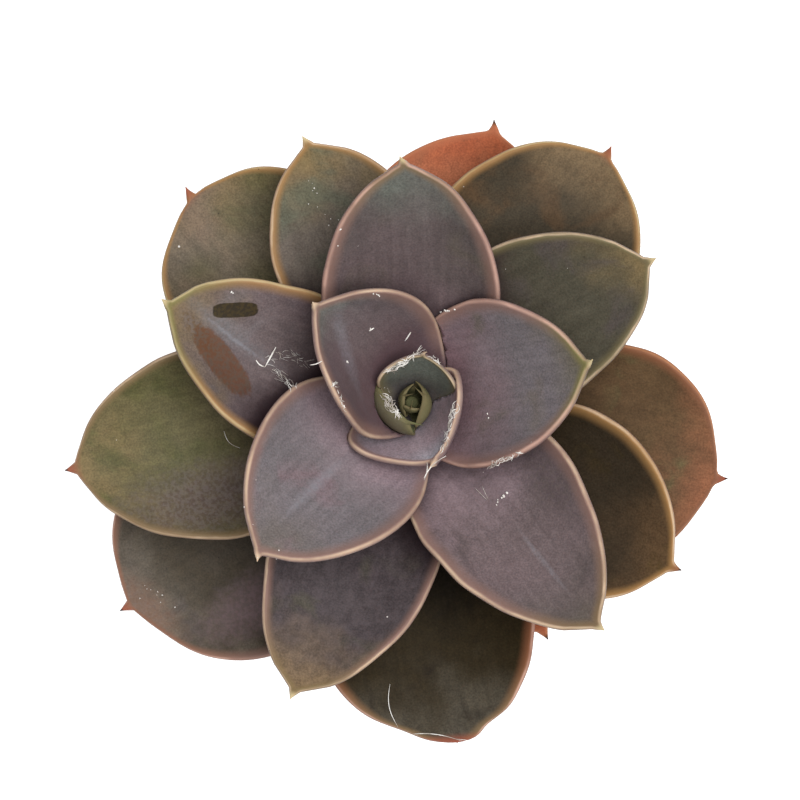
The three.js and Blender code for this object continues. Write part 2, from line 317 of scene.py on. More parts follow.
class Effects:
    """The shared effects of the leaves and of the rough things below them.

    The numbers in them are the sizes of lumps in millimetres, the values where a soft step begins and ends,
    and the shares of a mix.
    """

    def __init__(self) -> None:
        """Makes each effect's node group."""
        self.tone = Effect(
            "leaf_tone",
            ("Place", "Along", "Root", "Blade", "Tip", "Patch", "Patches"),
            ("Color",),
            self._tone,
        )
        self.margin = Effect(
            "leaf_margin",
            ("Color", "Place", "Margin", "Along", "Width", "Edge", "Glow", "Flush"),
            ("Color",),
            self._margin,
        )
        self.bloom = Effect(
            "powdery_bloom",
            ("Color", "Place", "Powder", "Amount", "Mottle"),
            ("Color", "Roughness", "Height"),
            self._bloom,
        )
        self.specks = Effect(
            "dust_and_pores", ("Color", "Place", "Dust", "Pores"), ("Color",), self._specks
        )
        self.veins = Effect(
            "faint_veins", ("Color", "Across", "Along", "Depth"), ("Color", "Height"), self._veins
        )
        self.mark_shape = Effect(
            "rub_or_painted_light_mark",
            ("Across", "Along", "Centre", "Half", "Turn", "Square", "Soft", "Place"),
            ("Mask",),
            self._mark_shape,
        )
        self.grit = Effect(
            "rough_grain", ("Place", "Light", "Dark", "Coarse"), ("Color", "Height"), self._grit
        )

    def grains(self, graph: Graph, light: Tone, dark: Tone, coarse: float) -> tuple[Value, Value]:
        """Rough grain between two tones.

        Args:
            graph: The material's graph.
            light: The tone of the raised grains.
            dark: The tone between them.
            coarse: The size of the coarser lumps, in millimetres.

        Returns:
            The colour and the height.
        """
        node = self.grit.put(
            graph, Place=graph.place(), Light=light.rgba, Dark=dark.rgba, Coarse=coarse
        )
        return node.outputs["Color"], node.outputs["Height"]

    @staticmethod
    def _tone(graph: Graph, given: dict) -> dict:
        """Root, blade and tip run into one another, with cloudy patches of a fourth colour.

        Args:
            graph: The group's graph.
            given: The group's inputs, by name.

        Returns:
            The group's outputs, by name.
        """
        place = given["Place"]
        along = graph.sway(graph.grain(place, 14, 3), 0.45, given["Along"])
        color = graph.mix(graph.step(along, 0.12, 0.62), given["Root"], given["Blade"])
        color = graph.mix(graph.step(along, 0.7, 1.02), color, given["Tip"])
        edge = graph.math("SUBTRACT", 0.72, graph.math("MULTIPLY", given["Patches"], 0.42))
        patch = graph.step(graph.grain(place, 11, 4, 0.6), edge, graph.math("ADD", edge, 0.22))
        return {"Color": graph.mix(graph.math("MULTIPLY", patch, 0.75), color, given["Patch"])}

    @staticmethod
    def _margin(graph: Graph, given: dict) -> dict:
        """A pale edge that changes its tint along the leaf and glows far into the blade.

        Args:
            graph: The group's graph.
            given: The group's inputs, by name.

        Returns:
            The group's outputs, by name.
        """
        margin = graph.sway(graph.grain(given["Place"], 5, 2), 0.5, given["Margin"])
        share = graph.math("DIVIDE", margin, given["Width"])
        out = graph.step(given["Along"], 0.12, 0.32)
        near_tip = graph.step(given["Along"], 0.72, 0.97)
        band = graph.mix(near_tip, given["Glow"], given["Flush"])
        glow = graph.product(graph.fall(share, 0.3, 4.2), out, 0.85)
        edge = graph.product(graph.fall(share, 0.1, 0.8), out, 0.82)
        brink = graph.product(graph.fall(share, -0.1, 0.3), 0.45)
        tint = graph.step(graph.grain(given["Place"], 9, 3), 0.36, 0.62)
        pale = graph.mix(graph.product(tint, 0.6), given["Edge"], band)
        pale = graph.mix(brink, pale, band)
        return {"Color": graph.mix(edge, graph.mix(glow, given["Color"], band), pale)}

    @staticmethod
    def _bloom(graph: Graph, given: dict) -> dict:
        """Powder on wax: a broad haze, small clouds and a grain as fine as dust.

        Args:
            graph: The group's graph.
            given: The group's inputs, by name.

        Returns:
            The group's outputs, by name.
        """
        place = given["Place"]
        broad = graph.step(graph.grain(place, 24, 2), 0.35, 0.75)
        cloud = graph.grain(place, 3.2, 4)
        dust = graph.grain(place, 0.42, 3)
        haze = graph.product(broad, given["Amount"], 0.6)
        color = graph.mix(haze, given["Color"], given["Powder"])
        speckle = graph.sway(dust, 1.1, 1.0)
        blotch = graph.math("SUBTRACT", graph.step(graph.grain(place, 2.4, 5, 0.4), 0.42, 0.6), 0.6)
        mottle = graph.math("MULTIPLY_ADD", blotch, graph.product(given["Mottle"], 0.3), speckle)
        mottle = graph.sway(cloud, graph.product(given["Mottle"], 0.55), mottle)
        color = graph.mix(1.0, color, graph.grey(mottle), "MULTIPLY")
        roughness = graph.math("MULTIPLY_ADD", cloud, 0.25, 0.42)
        height = graph.math("MULTIPLY_ADD", dust, 0.25, graph.product(cloud, 0.75))
        return {"Color": color, "Roughness": roughness, "Height": height}

    @staticmethod
    def _specks(graph: Graph, given: dict) -> dict:
        """A few pale grains of dust and a few dark pores, one at most in each cell.

        Args:
            graph: The group's graph.
            given: The group's inputs, by name.

        Returns:
            The group's outputs, by name.
        """
        color = given["Color"]
        layers = ((4.5, 0.055, "Dust", Tone.FLUFF), (3.2, 0.05, "Pores", Tone.SHADOW))
        for size, radius, kept, tone in layers:
            inputs = {"Vector": given["Place"], "Scale": 1.0 / (size * MM)}
            cells = graph.add("ShaderNodeTexVoronoi", inputs)
            pick = graph.add("ShaderNodeSeparateColor", {0: cells.outputs["Color"]}).outputs
            reach = graph.product(pick[1], radius)
            dot = graph.math("LESS_THAN", cells.outputs["Distance"], reach)
            here = graph.math("LESS_THAN", pick[0], given[kept])
            color = graph.mix(graph.product(dot, here, 0.7), color, tone.rgba)
        return {"Color": color}

    @staticmethod
    def _veins(graph: Graph, given: dict) -> dict:
        """Streaks along the blade, a millimetre or two across, as of veins below the skin.

        Args:
            graph: The group's graph.
            given: The group's inputs, by name.

        Returns:
            The group's outputs, by name.
        """
        drawn_out = 0.06  # how much slower the streaks change along the blade than across it
        across = graph.product(given["Across"], MM)
        along = graph.product(given["Along"], drawn_out * MM)
        streak = graph.grain(graph.point(across, along), 1.5, 3)
        shade = graph.grey(graph.sway(streak, given["Depth"], 1.0))
        return {"Color": graph.mix(1.0, given["Color"], shade, "MULTIPLY"), "Height": streak}

    @staticmethod
    def _mark_shape(graph: Graph, given: dict) -> dict:
        """A long spot on the blade, turned from the midrib, with a ragged or a soft edge.

        Args:
            graph: The group's graph.
            given: The group's inputs, by name.

        Returns:
            The group's outputs, by name.
        """
        outline = 1.4  # where the mark ends, as a power sum of its half sizes
        spot = graph.point(given["Across"], given["Along"])
        inputs = {"Vector": spot, "Center": given["Centre"], "Angle": given["Turn"]}
        turned = graph.add("ShaderNodeVectorRotate", inputs, rotation_type="Z_AXIS").outputs[0]
        ends = [graph.parts(vector) for vector in (turned, given["Centre"], given["Half"])]
        terms = []
        for place, centre, half in list(zip(*ends))[:2]:
            share = graph.math("DIVIDE", graph.math("SUBTRACT", place, centre), half)
            terms.append(graph.math("POWER", graph.math("ABSOLUTE", share), given["Square"]))
        ragged = graph.grain(given["Place"], 1.6, 4)
        far = graph.math("MULTIPLY_ADD", ragged, 0.7, graph.math("ADD", *terms))
        edge = graph.math("SUBTRACT", outline, given["Soft"])
        return {"Mask": graph.fall(far, edge, outline)}

    @staticmethod
    def _grit(graph: Graph, given: dict) -> dict:
        """Coarse and fine grain between a light and a dark colour.

        Args:
            graph: The group's graph.
            given: The group's inputs, by name.

        Returns:
            The group's outputs, by name.
        """
        size = graph.math("DIVIDE", 1.0, graph.product(given["Coarse"], MM))
        layers = []
        for finer in (1.0, 6.0):
            inputs = {"Vector": given["Place"], "Scale": graph.product(size, finer), "Detail": 4.0}
            layers.append(graph.add("ShaderNodeTexNoise", inputs).outputs["Fac"])
        both = graph.math("MULTIPLY_ADD", layers[1], 0.45, graph.product(layers[0], 0.55))
        color = graph.mix(graph.step(both, 0.38, 0.62), given["Dark"], given["Light"])
        return {"Color": color, "Height": both}


@dataclass(frozen=True)
class Surface:
    """What a shader takes as constants, set on its own sockets."""

    roughness: float = 0.5
    shine: float = 0.4
    subsurface: float = 0.0
    bump: float = 0.2
    bump_depth: float = 0.2

    def finish(
        self,
        name: str,
        paint: Callable[[Graph], tuple[Value, Optional[Value], Optional[Value]]],
    ) -> bpy.types.Material:
        """Makes a material.

        Args:
            name: The material's name.
            paint: Takes the graph and returns the colour, and the roughness and height if they vary.

        Returns:
            The new material.
        """
        material = bpy.data.materials.new(name)
        material.use_nodes = True
        graph = Graph(material.node_tree)
        shader = material.node_tree.nodes["Principled BSDF"]
        color, roughness, height = paint(graph)
        shader.inputs["Specular IOR Level"].default_value = self.shine
        shader.inputs["Subsurface Weight"].default_value = self.subsurface
        shader.inputs["Subsurface Radius"].default_value = (1.0, 0.4, 0.25)
        shader.inputs["Subsurface Scale"].default_value = 1.5 * MM
        graph.feed(shader.inputs["Base Color"], color)
        graph.feed(shader.inputs["Roughness"], self.roughness if roughness is None else roughness)
        if height is not None:
            inputs = {"Strength": self.bump, "Distance": self.bump_depth * MM, "Height": height}
            graph.feed(shader.inputs["Normal"], graph.add("ShaderNodeBump", inputs).outputs["Normal"])
        return material


@dataclass(frozen=True)
class LeafFinish:
    """The colours and the powder of leaves of one age.

    root, blade and tip run into one another along the upper face, and patch lies over them in clouds, more
    of them with patches. On the outer and middle leaves a dark root is partly their own colour and partly
    painted shade, where younger leaves cover it. edge is the margin's own tone, glow spreads from it into
    the blade, flush takes its place near the tip and edge_width is the margin's width. under tints the lower
    face. powder is the tone of the bloom, bloom its strength and mottle that of its clouds. Painted shade of
    the tone shade darkens the blade where other leaves hang over it, by up to cover, and in full where their
    ray measure reaches deep. spine tints the last spine_reach millimetres and char blackens their end. dust
    and pores say how many of each there are.
    """

    root: Tone
    blade: Tone
    tip: Tone
    patch: Tone
    edge: Tone
    glow: Tone
    under: Tone
    powder: Tone = Tone.HAZE
    patches: float = 0.5
    bloom: float = 0.6
    mottle: float = 0.4
    cover: float = 0.9
    edge_width: float = 1.0
    shade: Tone = Tone.SHADOW
    deep: float = 0.48
    flush: Optional[Tone] = None
    spine: Tone = Tone.ROSY
    spine_reach: float = 2.2
    char: float = 0.0
    shine: float = 0.2
    dust: float = 0.15
    pores: float = 0.15

    def material(self, name: str, effects: Effects, marks: Sequence["Mark"]) -> bpy.types.Material:
        """Makes the finish of one leaf.

        Args:
            name: The material's name.
            effects: The shared effects.
            marks: Rubbed patches, tints, painted highlights and painted shadow laid on the colour.

        Returns:
            The new material.
        """

        def paint(graph: Graph) -> tuple[Value, Value, Value]:
            """Lays tone, margin, bloom, marks, painted shade and dust over one another.

            Args:
                graph: The material's graph.

            Returns:
                The colour, the roughness and the height.
            """
            place = graph.place()
            spot = graph.parts(graph.attribute("spot", "Vector"))
            tone = effects.tone.put(
                graph,
                Place=place,
                Along=graph.attribute("along"),
                Root=self.root.rgba,
                Blade=self.blade.rgba,
                Tip=self.tip.rgba,
                Patch=self.patch.rgba,
                Patches=self.patches,
            )
            bloom = effects.bloom.put(
                graph,
                Color=tone.outputs[0],
                Place=place,
                Powder=self.powder.rgba,
                Amount=self.bloom,
                Mottle=self.mottle,
            )
            veins = effects.veins.put(
                graph, Color=bloom.outputs["Color"], Across=spot[0], Along=spot[1], Depth=0.5
            )
            color = veins.outputs["Color"]
            for mark in marks:
                color = mark.over(graph, effects, color, spot, place)
            # Painted shade: darkens the colour towards the shade tone where the ray measure finds other
            # leaves above.
            hidden = graph.step(graph.attribute("leaf_shadow"), 0.03, self.deep)
            color = graph.mix(graph.product(hidden, self.cover), color, self.shade.rgba)
            margin = effects.margin.put(
                graph,
                Color=color,
                Place=place,
                Margin=spot[2],
                Along=graph.attribute("along"),
                Width=self.edge_width,
                Edge=self.edge.rgba,
                Glow=self.glow.rgba,
                Flush=(self.flush or self.glow).rgba,
            )
            under = graph.step(graph.attribute("under"), 0.3, 0.7)
            color = graph.mix(graph.product(under, 0.7), margin.outputs["Color"], self.under.rgba)
            near = graph.step(graph.attribute("from_tip"), 0.5, self.spine_reach)
            color = graph.mix(graph.math("MULTIPLY_ADD", near, -0.9, 0.9), color, self.spine.rgba)
            end = graph.step(graph.attribute("from_tip"), 0.25, 0.7)
            burnt = graph.math("MULTIPLY_ADD", end, -self.char, self.char)
            color = graph.mix(burnt, color, Tone.CHAR_AND_SHADOW.rgba)
            specks = effects.specks.put(
                graph, Color=color, Place=place, Dust=self.dust, Pores=self.pores
            )
            return specks.outputs["Color"], bloom.outputs["Roughness"], bloom.outputs["Height"]

        return Surface(shine=self.shine, subsurface=0.05, bump=0.25, bump_depth=0.12).finish(name, paint)


@dataclass(frozen=True)
class Mark:
    """A mark laid on a leaf's colour: its middle, from the midrib and from the root, and its half sizes.

    Lengths are in millimetres, and turn is in degrees from the midrib. tone and grain are its two colours
    and depth is its strength. soft is the width of its edge, and square makes it from an ellipse, at 2, a
    rectangle. A mark is a rubbed patch or a tint of the blade, or painted light: a light mark with a square
    below 2 is a painted highlight, a streak of sheen, and a black one is painted shadow.
    """

    across: float
    along: float
    half_across: float
    half_along: float
    turn: float
    tone: Tone
    depth: float = 0.9
    soft: float = 1.5
    square: float = 2.0
    grain: Tone = Tone.SHADOW

    def over(
        self, graph: Graph, effects: Effects, color: Value, spot: Sequence[Value], place: Value
    ) -> bpy.types.NodeSocket:
        """Lays the mark over a colour.

        Args:
            graph: The material's graph.
            effects: The shared effects.
            color: The colour below the mark.
            spot: The place on the blade: across, along and from the margin.
            place: The object's coordinates.

        Returns:
            The colour with the mark.
        """
        mark_shape = effects.mark_shape.put(
            graph,
            Across=spot[0],
            Along=spot[1],
            Centre=(self.across, self.along, 0.0),
            Half=(self.half_across, self.half_along, 1.0),
            Turn=math.radians(self.turn),
            Square=self.square,
            Soft=self.soft,
            Place=place,
        )
        # A light streak lays painted highlight and a black mark painted shadow; the others are rubbed
        # patches and tints.
        pitted = graph.step(graph.grain(place, 0.8, 5), 0.42, 0.6)
        mark_color = graph.mix(graph.product(pitted, 0.6), self.tone.rgba, self.grain.rgba)
        return graph.mix(graph.product(mark_shape.outputs["Mask"], self.depth), color, mark_color)


# The dark root tones of the outer and middle finishes are partly the leaves' own colour and partly painted
# shade, where younger leaves cover the roots.
RUSTY = LeafFinish(
    Tone.CHESTNUT, Tone.BRICK, Tone.EMBER, Tone.RUST, Tone.PEACH, Tone.BRICK, Tone.PLUM,
    powder=Tone.PEACH, bloom=0.2, shade=Tone.CHESTNUT, spine=Tone.CHESTNUT, spine_reach=1.4, char=0.7,
    shine=0.1,
)
BROWNED = LeafFinish(
    Tone.COFFEE, Tone.BARK, Tone.STONE, Tone.DUSK, Tone.ROSY, Tone.ROSE, Tone.PLUM,
    powder=Tone.DUSK, patches=0.4, bloom=0.3, mottle=0.4, cover=0.95, pores=0.35, edge_width=0.8,
    flush=Tone.TOFFEE, spine=Tone.RUSSET, spine_reach=3.0, char=0.9, shine=0.1,
)
RUDDY = replace(
    BROWNED, root=Tone.SMUT, blade=Tone.SEPIA, tip=Tone.RUST, patch=Tone.OLIVE, edge=Tone.PEACH,
    glow=Tone.RUST, powder=Tone.TAN,
)
# BURNT's black root is painted shadow. The dark blades of BURNT and SCORCHED are partly the leaves' own
# colour and partly painted shade, for leaves that lie under others.
BURNT = replace(
    BROWNED, root=Tone.CHAR_AND_SHADOW, blade=Tone.SMUT, tip=Tone.DRAB, patch=Tone.SHADOW, powder=Tone.BARK,
    edge=Tone.ROSY, glow=Tone.RUST, flush=Tone.GOLD, bloom=0.2, char=0.0, shine=0.05,
)
SCORCHED = replace(
    BROWNED, root=Tone.SMUT, blade=Tone.COFFEE, tip=Tone.SEPIA, patch=Tone.TAR, powder=Tone.SEPIA,
    edge=Tone.CREAM, glow=Tone.HONEY, flush=Tone.HONEY, spine=Tone.RUST, mottle=0.35, shine=0.05,
)
OLIVE = LeafFinish(
    Tone.MOSS, Tone.OLIVE, Tone.TAN, Tone.MOSS, Tone.STRAW, Tone.HONEY, Tone.PLUM,
    powder=Tone.MAUVE, patches=0.6, bloom=0.6, mottle=0.4, pores=0.3, edge_width=0.6,
    spine=Tone.RUSSET, spine_reach=4.2, shine=0.12,
)
GREEN = replace(
    OLIVE, root=Tone.PLUM, edge=Tone.CREAM, glow=Tone.GOLD, powder=Tone.OLIVE, bloom=0.3, char=0.8
)
BRONZE = replace(
    OLIVE, root=Tone.COFFEE, blade=Tone.BARK, tip=Tone.GOLD, patch=Tone.SEPIA, powder=Tone.DRAB,
    bloom=0.3,
)
SHADED = LeafFinish(
    Tone.SLOE, Tone.STONE, Tone.TAN, Tone.SAGE, Tone.CREAM, Tone.HONEY, Tone.PLUM,
    powder=Tone.TAUPE, patches=0.5, bloom=0.4, mottle=0.35, dust=0.4, pores=0.3, edge_width=0.65,
    cover=0.95, deep=0.32, shade=Tone.SLOE, spine=Tone.STRAW, shine=0.15,
)
DUSKY = replace(
    SHADED, blade=Tone.MURK, patch=Tone.LODEN, tip=Tone.GOLD, powder=Tone.DUSK, mottle=0.7,
    glow=Tone.ROSE, flush=Tone.TAN,
)
DEEP = replace(
    SHADED, root=Tone.WINE, blade=Tone.LODEN, patch=Tone.DUSK, powder=Tone.DRAB, glow=Tone.KHAKI
)
MIDDLE = LeafFinish(
    Tone.SLOE, Tone.TAUPE, Tone.TAN, Tone.PEWTER, Tone.STRAW, Tone.HONEY, Tone.PLUM,
    powder=Tone.MAUVE, patches=0.4, bloom=0.5, mottle=0.3, dust=0.2, spine=Tone.STRAW, flush=Tone.FERN,
    edge_width=0.75, cover=0.95, deep=0.34, shade=Tone.SLOE,
)
FLUSHED = LeafFinish(
    Tone.PETAL, Tone.TAUPE, Tone.DRAB, Tone.DUSK, Tone.CREAM, Tone.ROSE, Tone.PLUM,
    powder=Tone.MAUVE, patches=0.5, bloom=0.5, mottle=0.3, dust=0.2, spine=Tone.STRAW, flush=Tone.GOLD,
    cover=0.6, shade=Tone.SLOE,
)
DIM = replace(
    FLUSHED, root=Tone.MAUVE, blade=Tone.DUSK, tip=Tone.LICHEN, patch=Tone.DRAB, edge=Tone.ROSY
)
SPRUNG = replace(
    FLUSHED, root=Tone.BLUSH, blade=Tone.PEWTER, tip=Tone.OLIVE, patch=Tone.STONE, edge=Tone.ROSY,
    powder=Tone.LILAC, cover=0.3, flush=Tone.FERN,
)
INNER = LeafFinish(
    Tone.PETAL, Tone.PEWTER, Tone.STONE, Tone.MAUVE, Tone.CREAM, Tone.ROSE, Tone.MAUVE,
    powder=Tone.LILAC, patches=0.4, bloom=0.4, mottle=0.25, cover=0.3, dust=0.25, pores=0.1,
    shade=Tone.PLUM, spine=Tone.CREAM,
)
COOL = replace(
    INNER, root=Tone.PLUM, blade=Tone.TAUPE, tip=Tone.LICHEN, patch=Tone.DUSK, powder=Tone.SLATE,
    cover=0.7,
)
BUD = replace(
    INNER, root=Tone.LILAC, blade=Tone.PETAL, tip=Tone.HAZE, patch=Tone.SLATE, edge_width=0.8, cover=0.1,
    powder=Tone.HAZE, bloom=0.6,
)
HOOD = replace(
    BUD, root=Tone.DUSK, blade=Tone.LICHEN, tip=Tone.LICHEN, patch=Tone.PEWTER, glow=Tone.KHAKI
)
SHEATH = replace(HOOD, edge=Tone.KHAKI, glow=Tone.LEEK, under=Tone.KHAKI, spine=Tone.LEEK)
HEART = LeafFinish(
    Tone.MOSS, Tone.LEEK, Tone.KHAKI, Tone.SAGE, Tone.KHAKI, Tone.KHAKI, Tone.KHAKI,
    powder=Tone.SAGE, patches=0.4, bloom=0.5, edge_width=0.3, pores=0.05, spine=Tone.KHAKI, cover=0.6,
)


class Form:
    """Sizes and habits that all the leaves share, in millimetres and degrees."""

    COUNT = 26
    FIRST_Z, LAST_Z = 82.0, 114.0  # of the leaves' roots
    ROOT_DEPTH = 3.0
    STEM_RADIUS, STEM_TOP_RADIUS = 8.0, 1.3
    SHOULDER_Z, STEM_TOP_Z, STEM_TAPER = 88.0, 115.0, 1.3

    # From the oldest leaf to the youngest
    PITCHES = ((18.0, 100.0), (8.0, 84.0), (14.0, 80.0))  # at the root, the middle and the tip
    QUICKENING = 2.2  # the pitch grows with this power of the age
    WIDEST = (0.56, 0.42)  # where the blade is widest
    SPINE = (2.8, 2.2)  # length of the pointed tip
    BELLY = (3.6, 2.0)  # thickness added in the middle
    CUP = (24.0, 44.0)  # half-angle of the trough across the blade

    RIM, RIM_MOST, FULL_WIDTH = 1.5, 1.6, 32.0  # a leaf narrower than the last is thinner too
    BELLY_FROM, BELLY_POWER = 0.3, 0.8  # how the belly changes along the leaf
    BELLY_EDGE, CREASE_ROUND = 2.4, 1.5
    TAPER = (1.0, 0.55)  # power of the end's outline on a tapering and on a full leaf
    WRAP = 2.6  # most that half a blade turns round the stem, in radians
    POINT_HALF, POINT_FLARE, POINT_POWER, POINT_REACH, POINT_BLEND = 0.14, 0.42, 1.15, 6.0, 1.8
    NIP, NIP_AT, NIP_SIZE = 0.2, 3.4, 2.6  # the blade is drawn in where the point begins
    BEAD, BEAD_WIDTH = 0.06, 0.8  # the raised line along the margin
    MARGIN_FROM = 0.999  # beyond this share of the width the skin turns round the margin

    STATIONS, STRIPS, ROUNDS = 64, 26, 3  # of the mesh, along, across and round the margin
    CROWDING = 1.1  # of the stations towards the root
    RIB_STEPS = 48

    # Noise that bends the blade and its margins, with another part of it for each leaf
    WAVE, WAVE_SIZE, WAVE_APART, WAVE_SPAN = 0.3, 17.0, 3.7, (0.1, 0.45)
    WAVE_CALM = 0.6  # how much less the youngest leaf waves
    SWAY, SWELL, SWAY_SIZE, SWAY_APART, SWAY_SPAN = 0.35, 0.02, 9.0, 2.3, (0.2, 0.5)
    SWAY_TIP = 4.0  # from here the margins wander less and less towards the tip
    SIDE_ROW, WIDTH_ROW = 0.0, 5.0  # of the noise

    @classmethod
    def stem_radius(cls, z: float) -> float:
        """The stem's radius at a height."""
        share = min(1.0, max(0.0, (z - cls.SHOULDER_Z) / (cls.STEM_TOP_Z - cls.SHOULDER_Z)))
        return lerp(cls.STEM_RADIUS, cls.STEM_TOP_RADIUS, share**cls.STEM_TAPER)


@dataclass(frozen=True)
class Section:
    """A cut across a leaf: where it lies, how wide and thick it is and how far it is cupped."""

    centre: Vector
    along: Vector
    left: Vector
    normal: Vector
    half: float
    bend: float
    rim: float
    bead: float
    belly: float
    fold: float

    @property
    def round(self) -> float:
        """Radius of the rounded margin."""
        return (self.rim + self.bead) / 2

    def place(self, across: float, depth: float) -> Vector:
        """A point of the section.

        Args:
            across: Distance from the midrib along the cupped face, to the left.
            depth: Distance below that face.

        Returns:
            The point, in millimetres.
        """
        turn = self.bend * across
        reach = math.sin(turn) / self.bend
        fold = self.fold * (math.hypot(reach, Form.CREASE_ROUND) - Form.CREASE_ROUND)
        lift = (1.0 - math.cos(turn)) / self.bend + fold - math.cos(turn) * depth
        return self.centre + self.left * (reach + math.sin(turn) * depth) + self.normal * lift

    def skin(self, share: float, under: float) -> tuple[Vector, float]:
        """A point of the leaf's skin.

        Args:
            share: Across the blade, from -1 at the right margin to 1 at the left one.
            under: 0 on the upper face, 1 on the lower one, and between them round the margin.

        Returns:
            The point, and its distance from the midrib to the left, in millimetres.
        """
        flat = self.half - self.round
        inward = flat * (1.0 - abs(share))
        upper = -self.bead * math.exp(-((inward / Form.BEAD_WIDTH) ** 2))
        lower = self.rim + self.belly * (1.0 - abs(share) ** Form.BELLY_EDGE)
        across = share * flat
        if abs(share) > Form.MARGIN_FROM:
            across += math.copysign(self.round * math.sin(math.pi * under), share)
        depth = lerp(upper, lower, (1.0 - math.cos(math.pi * under)) / 2)
        return self.place(across, depth), across


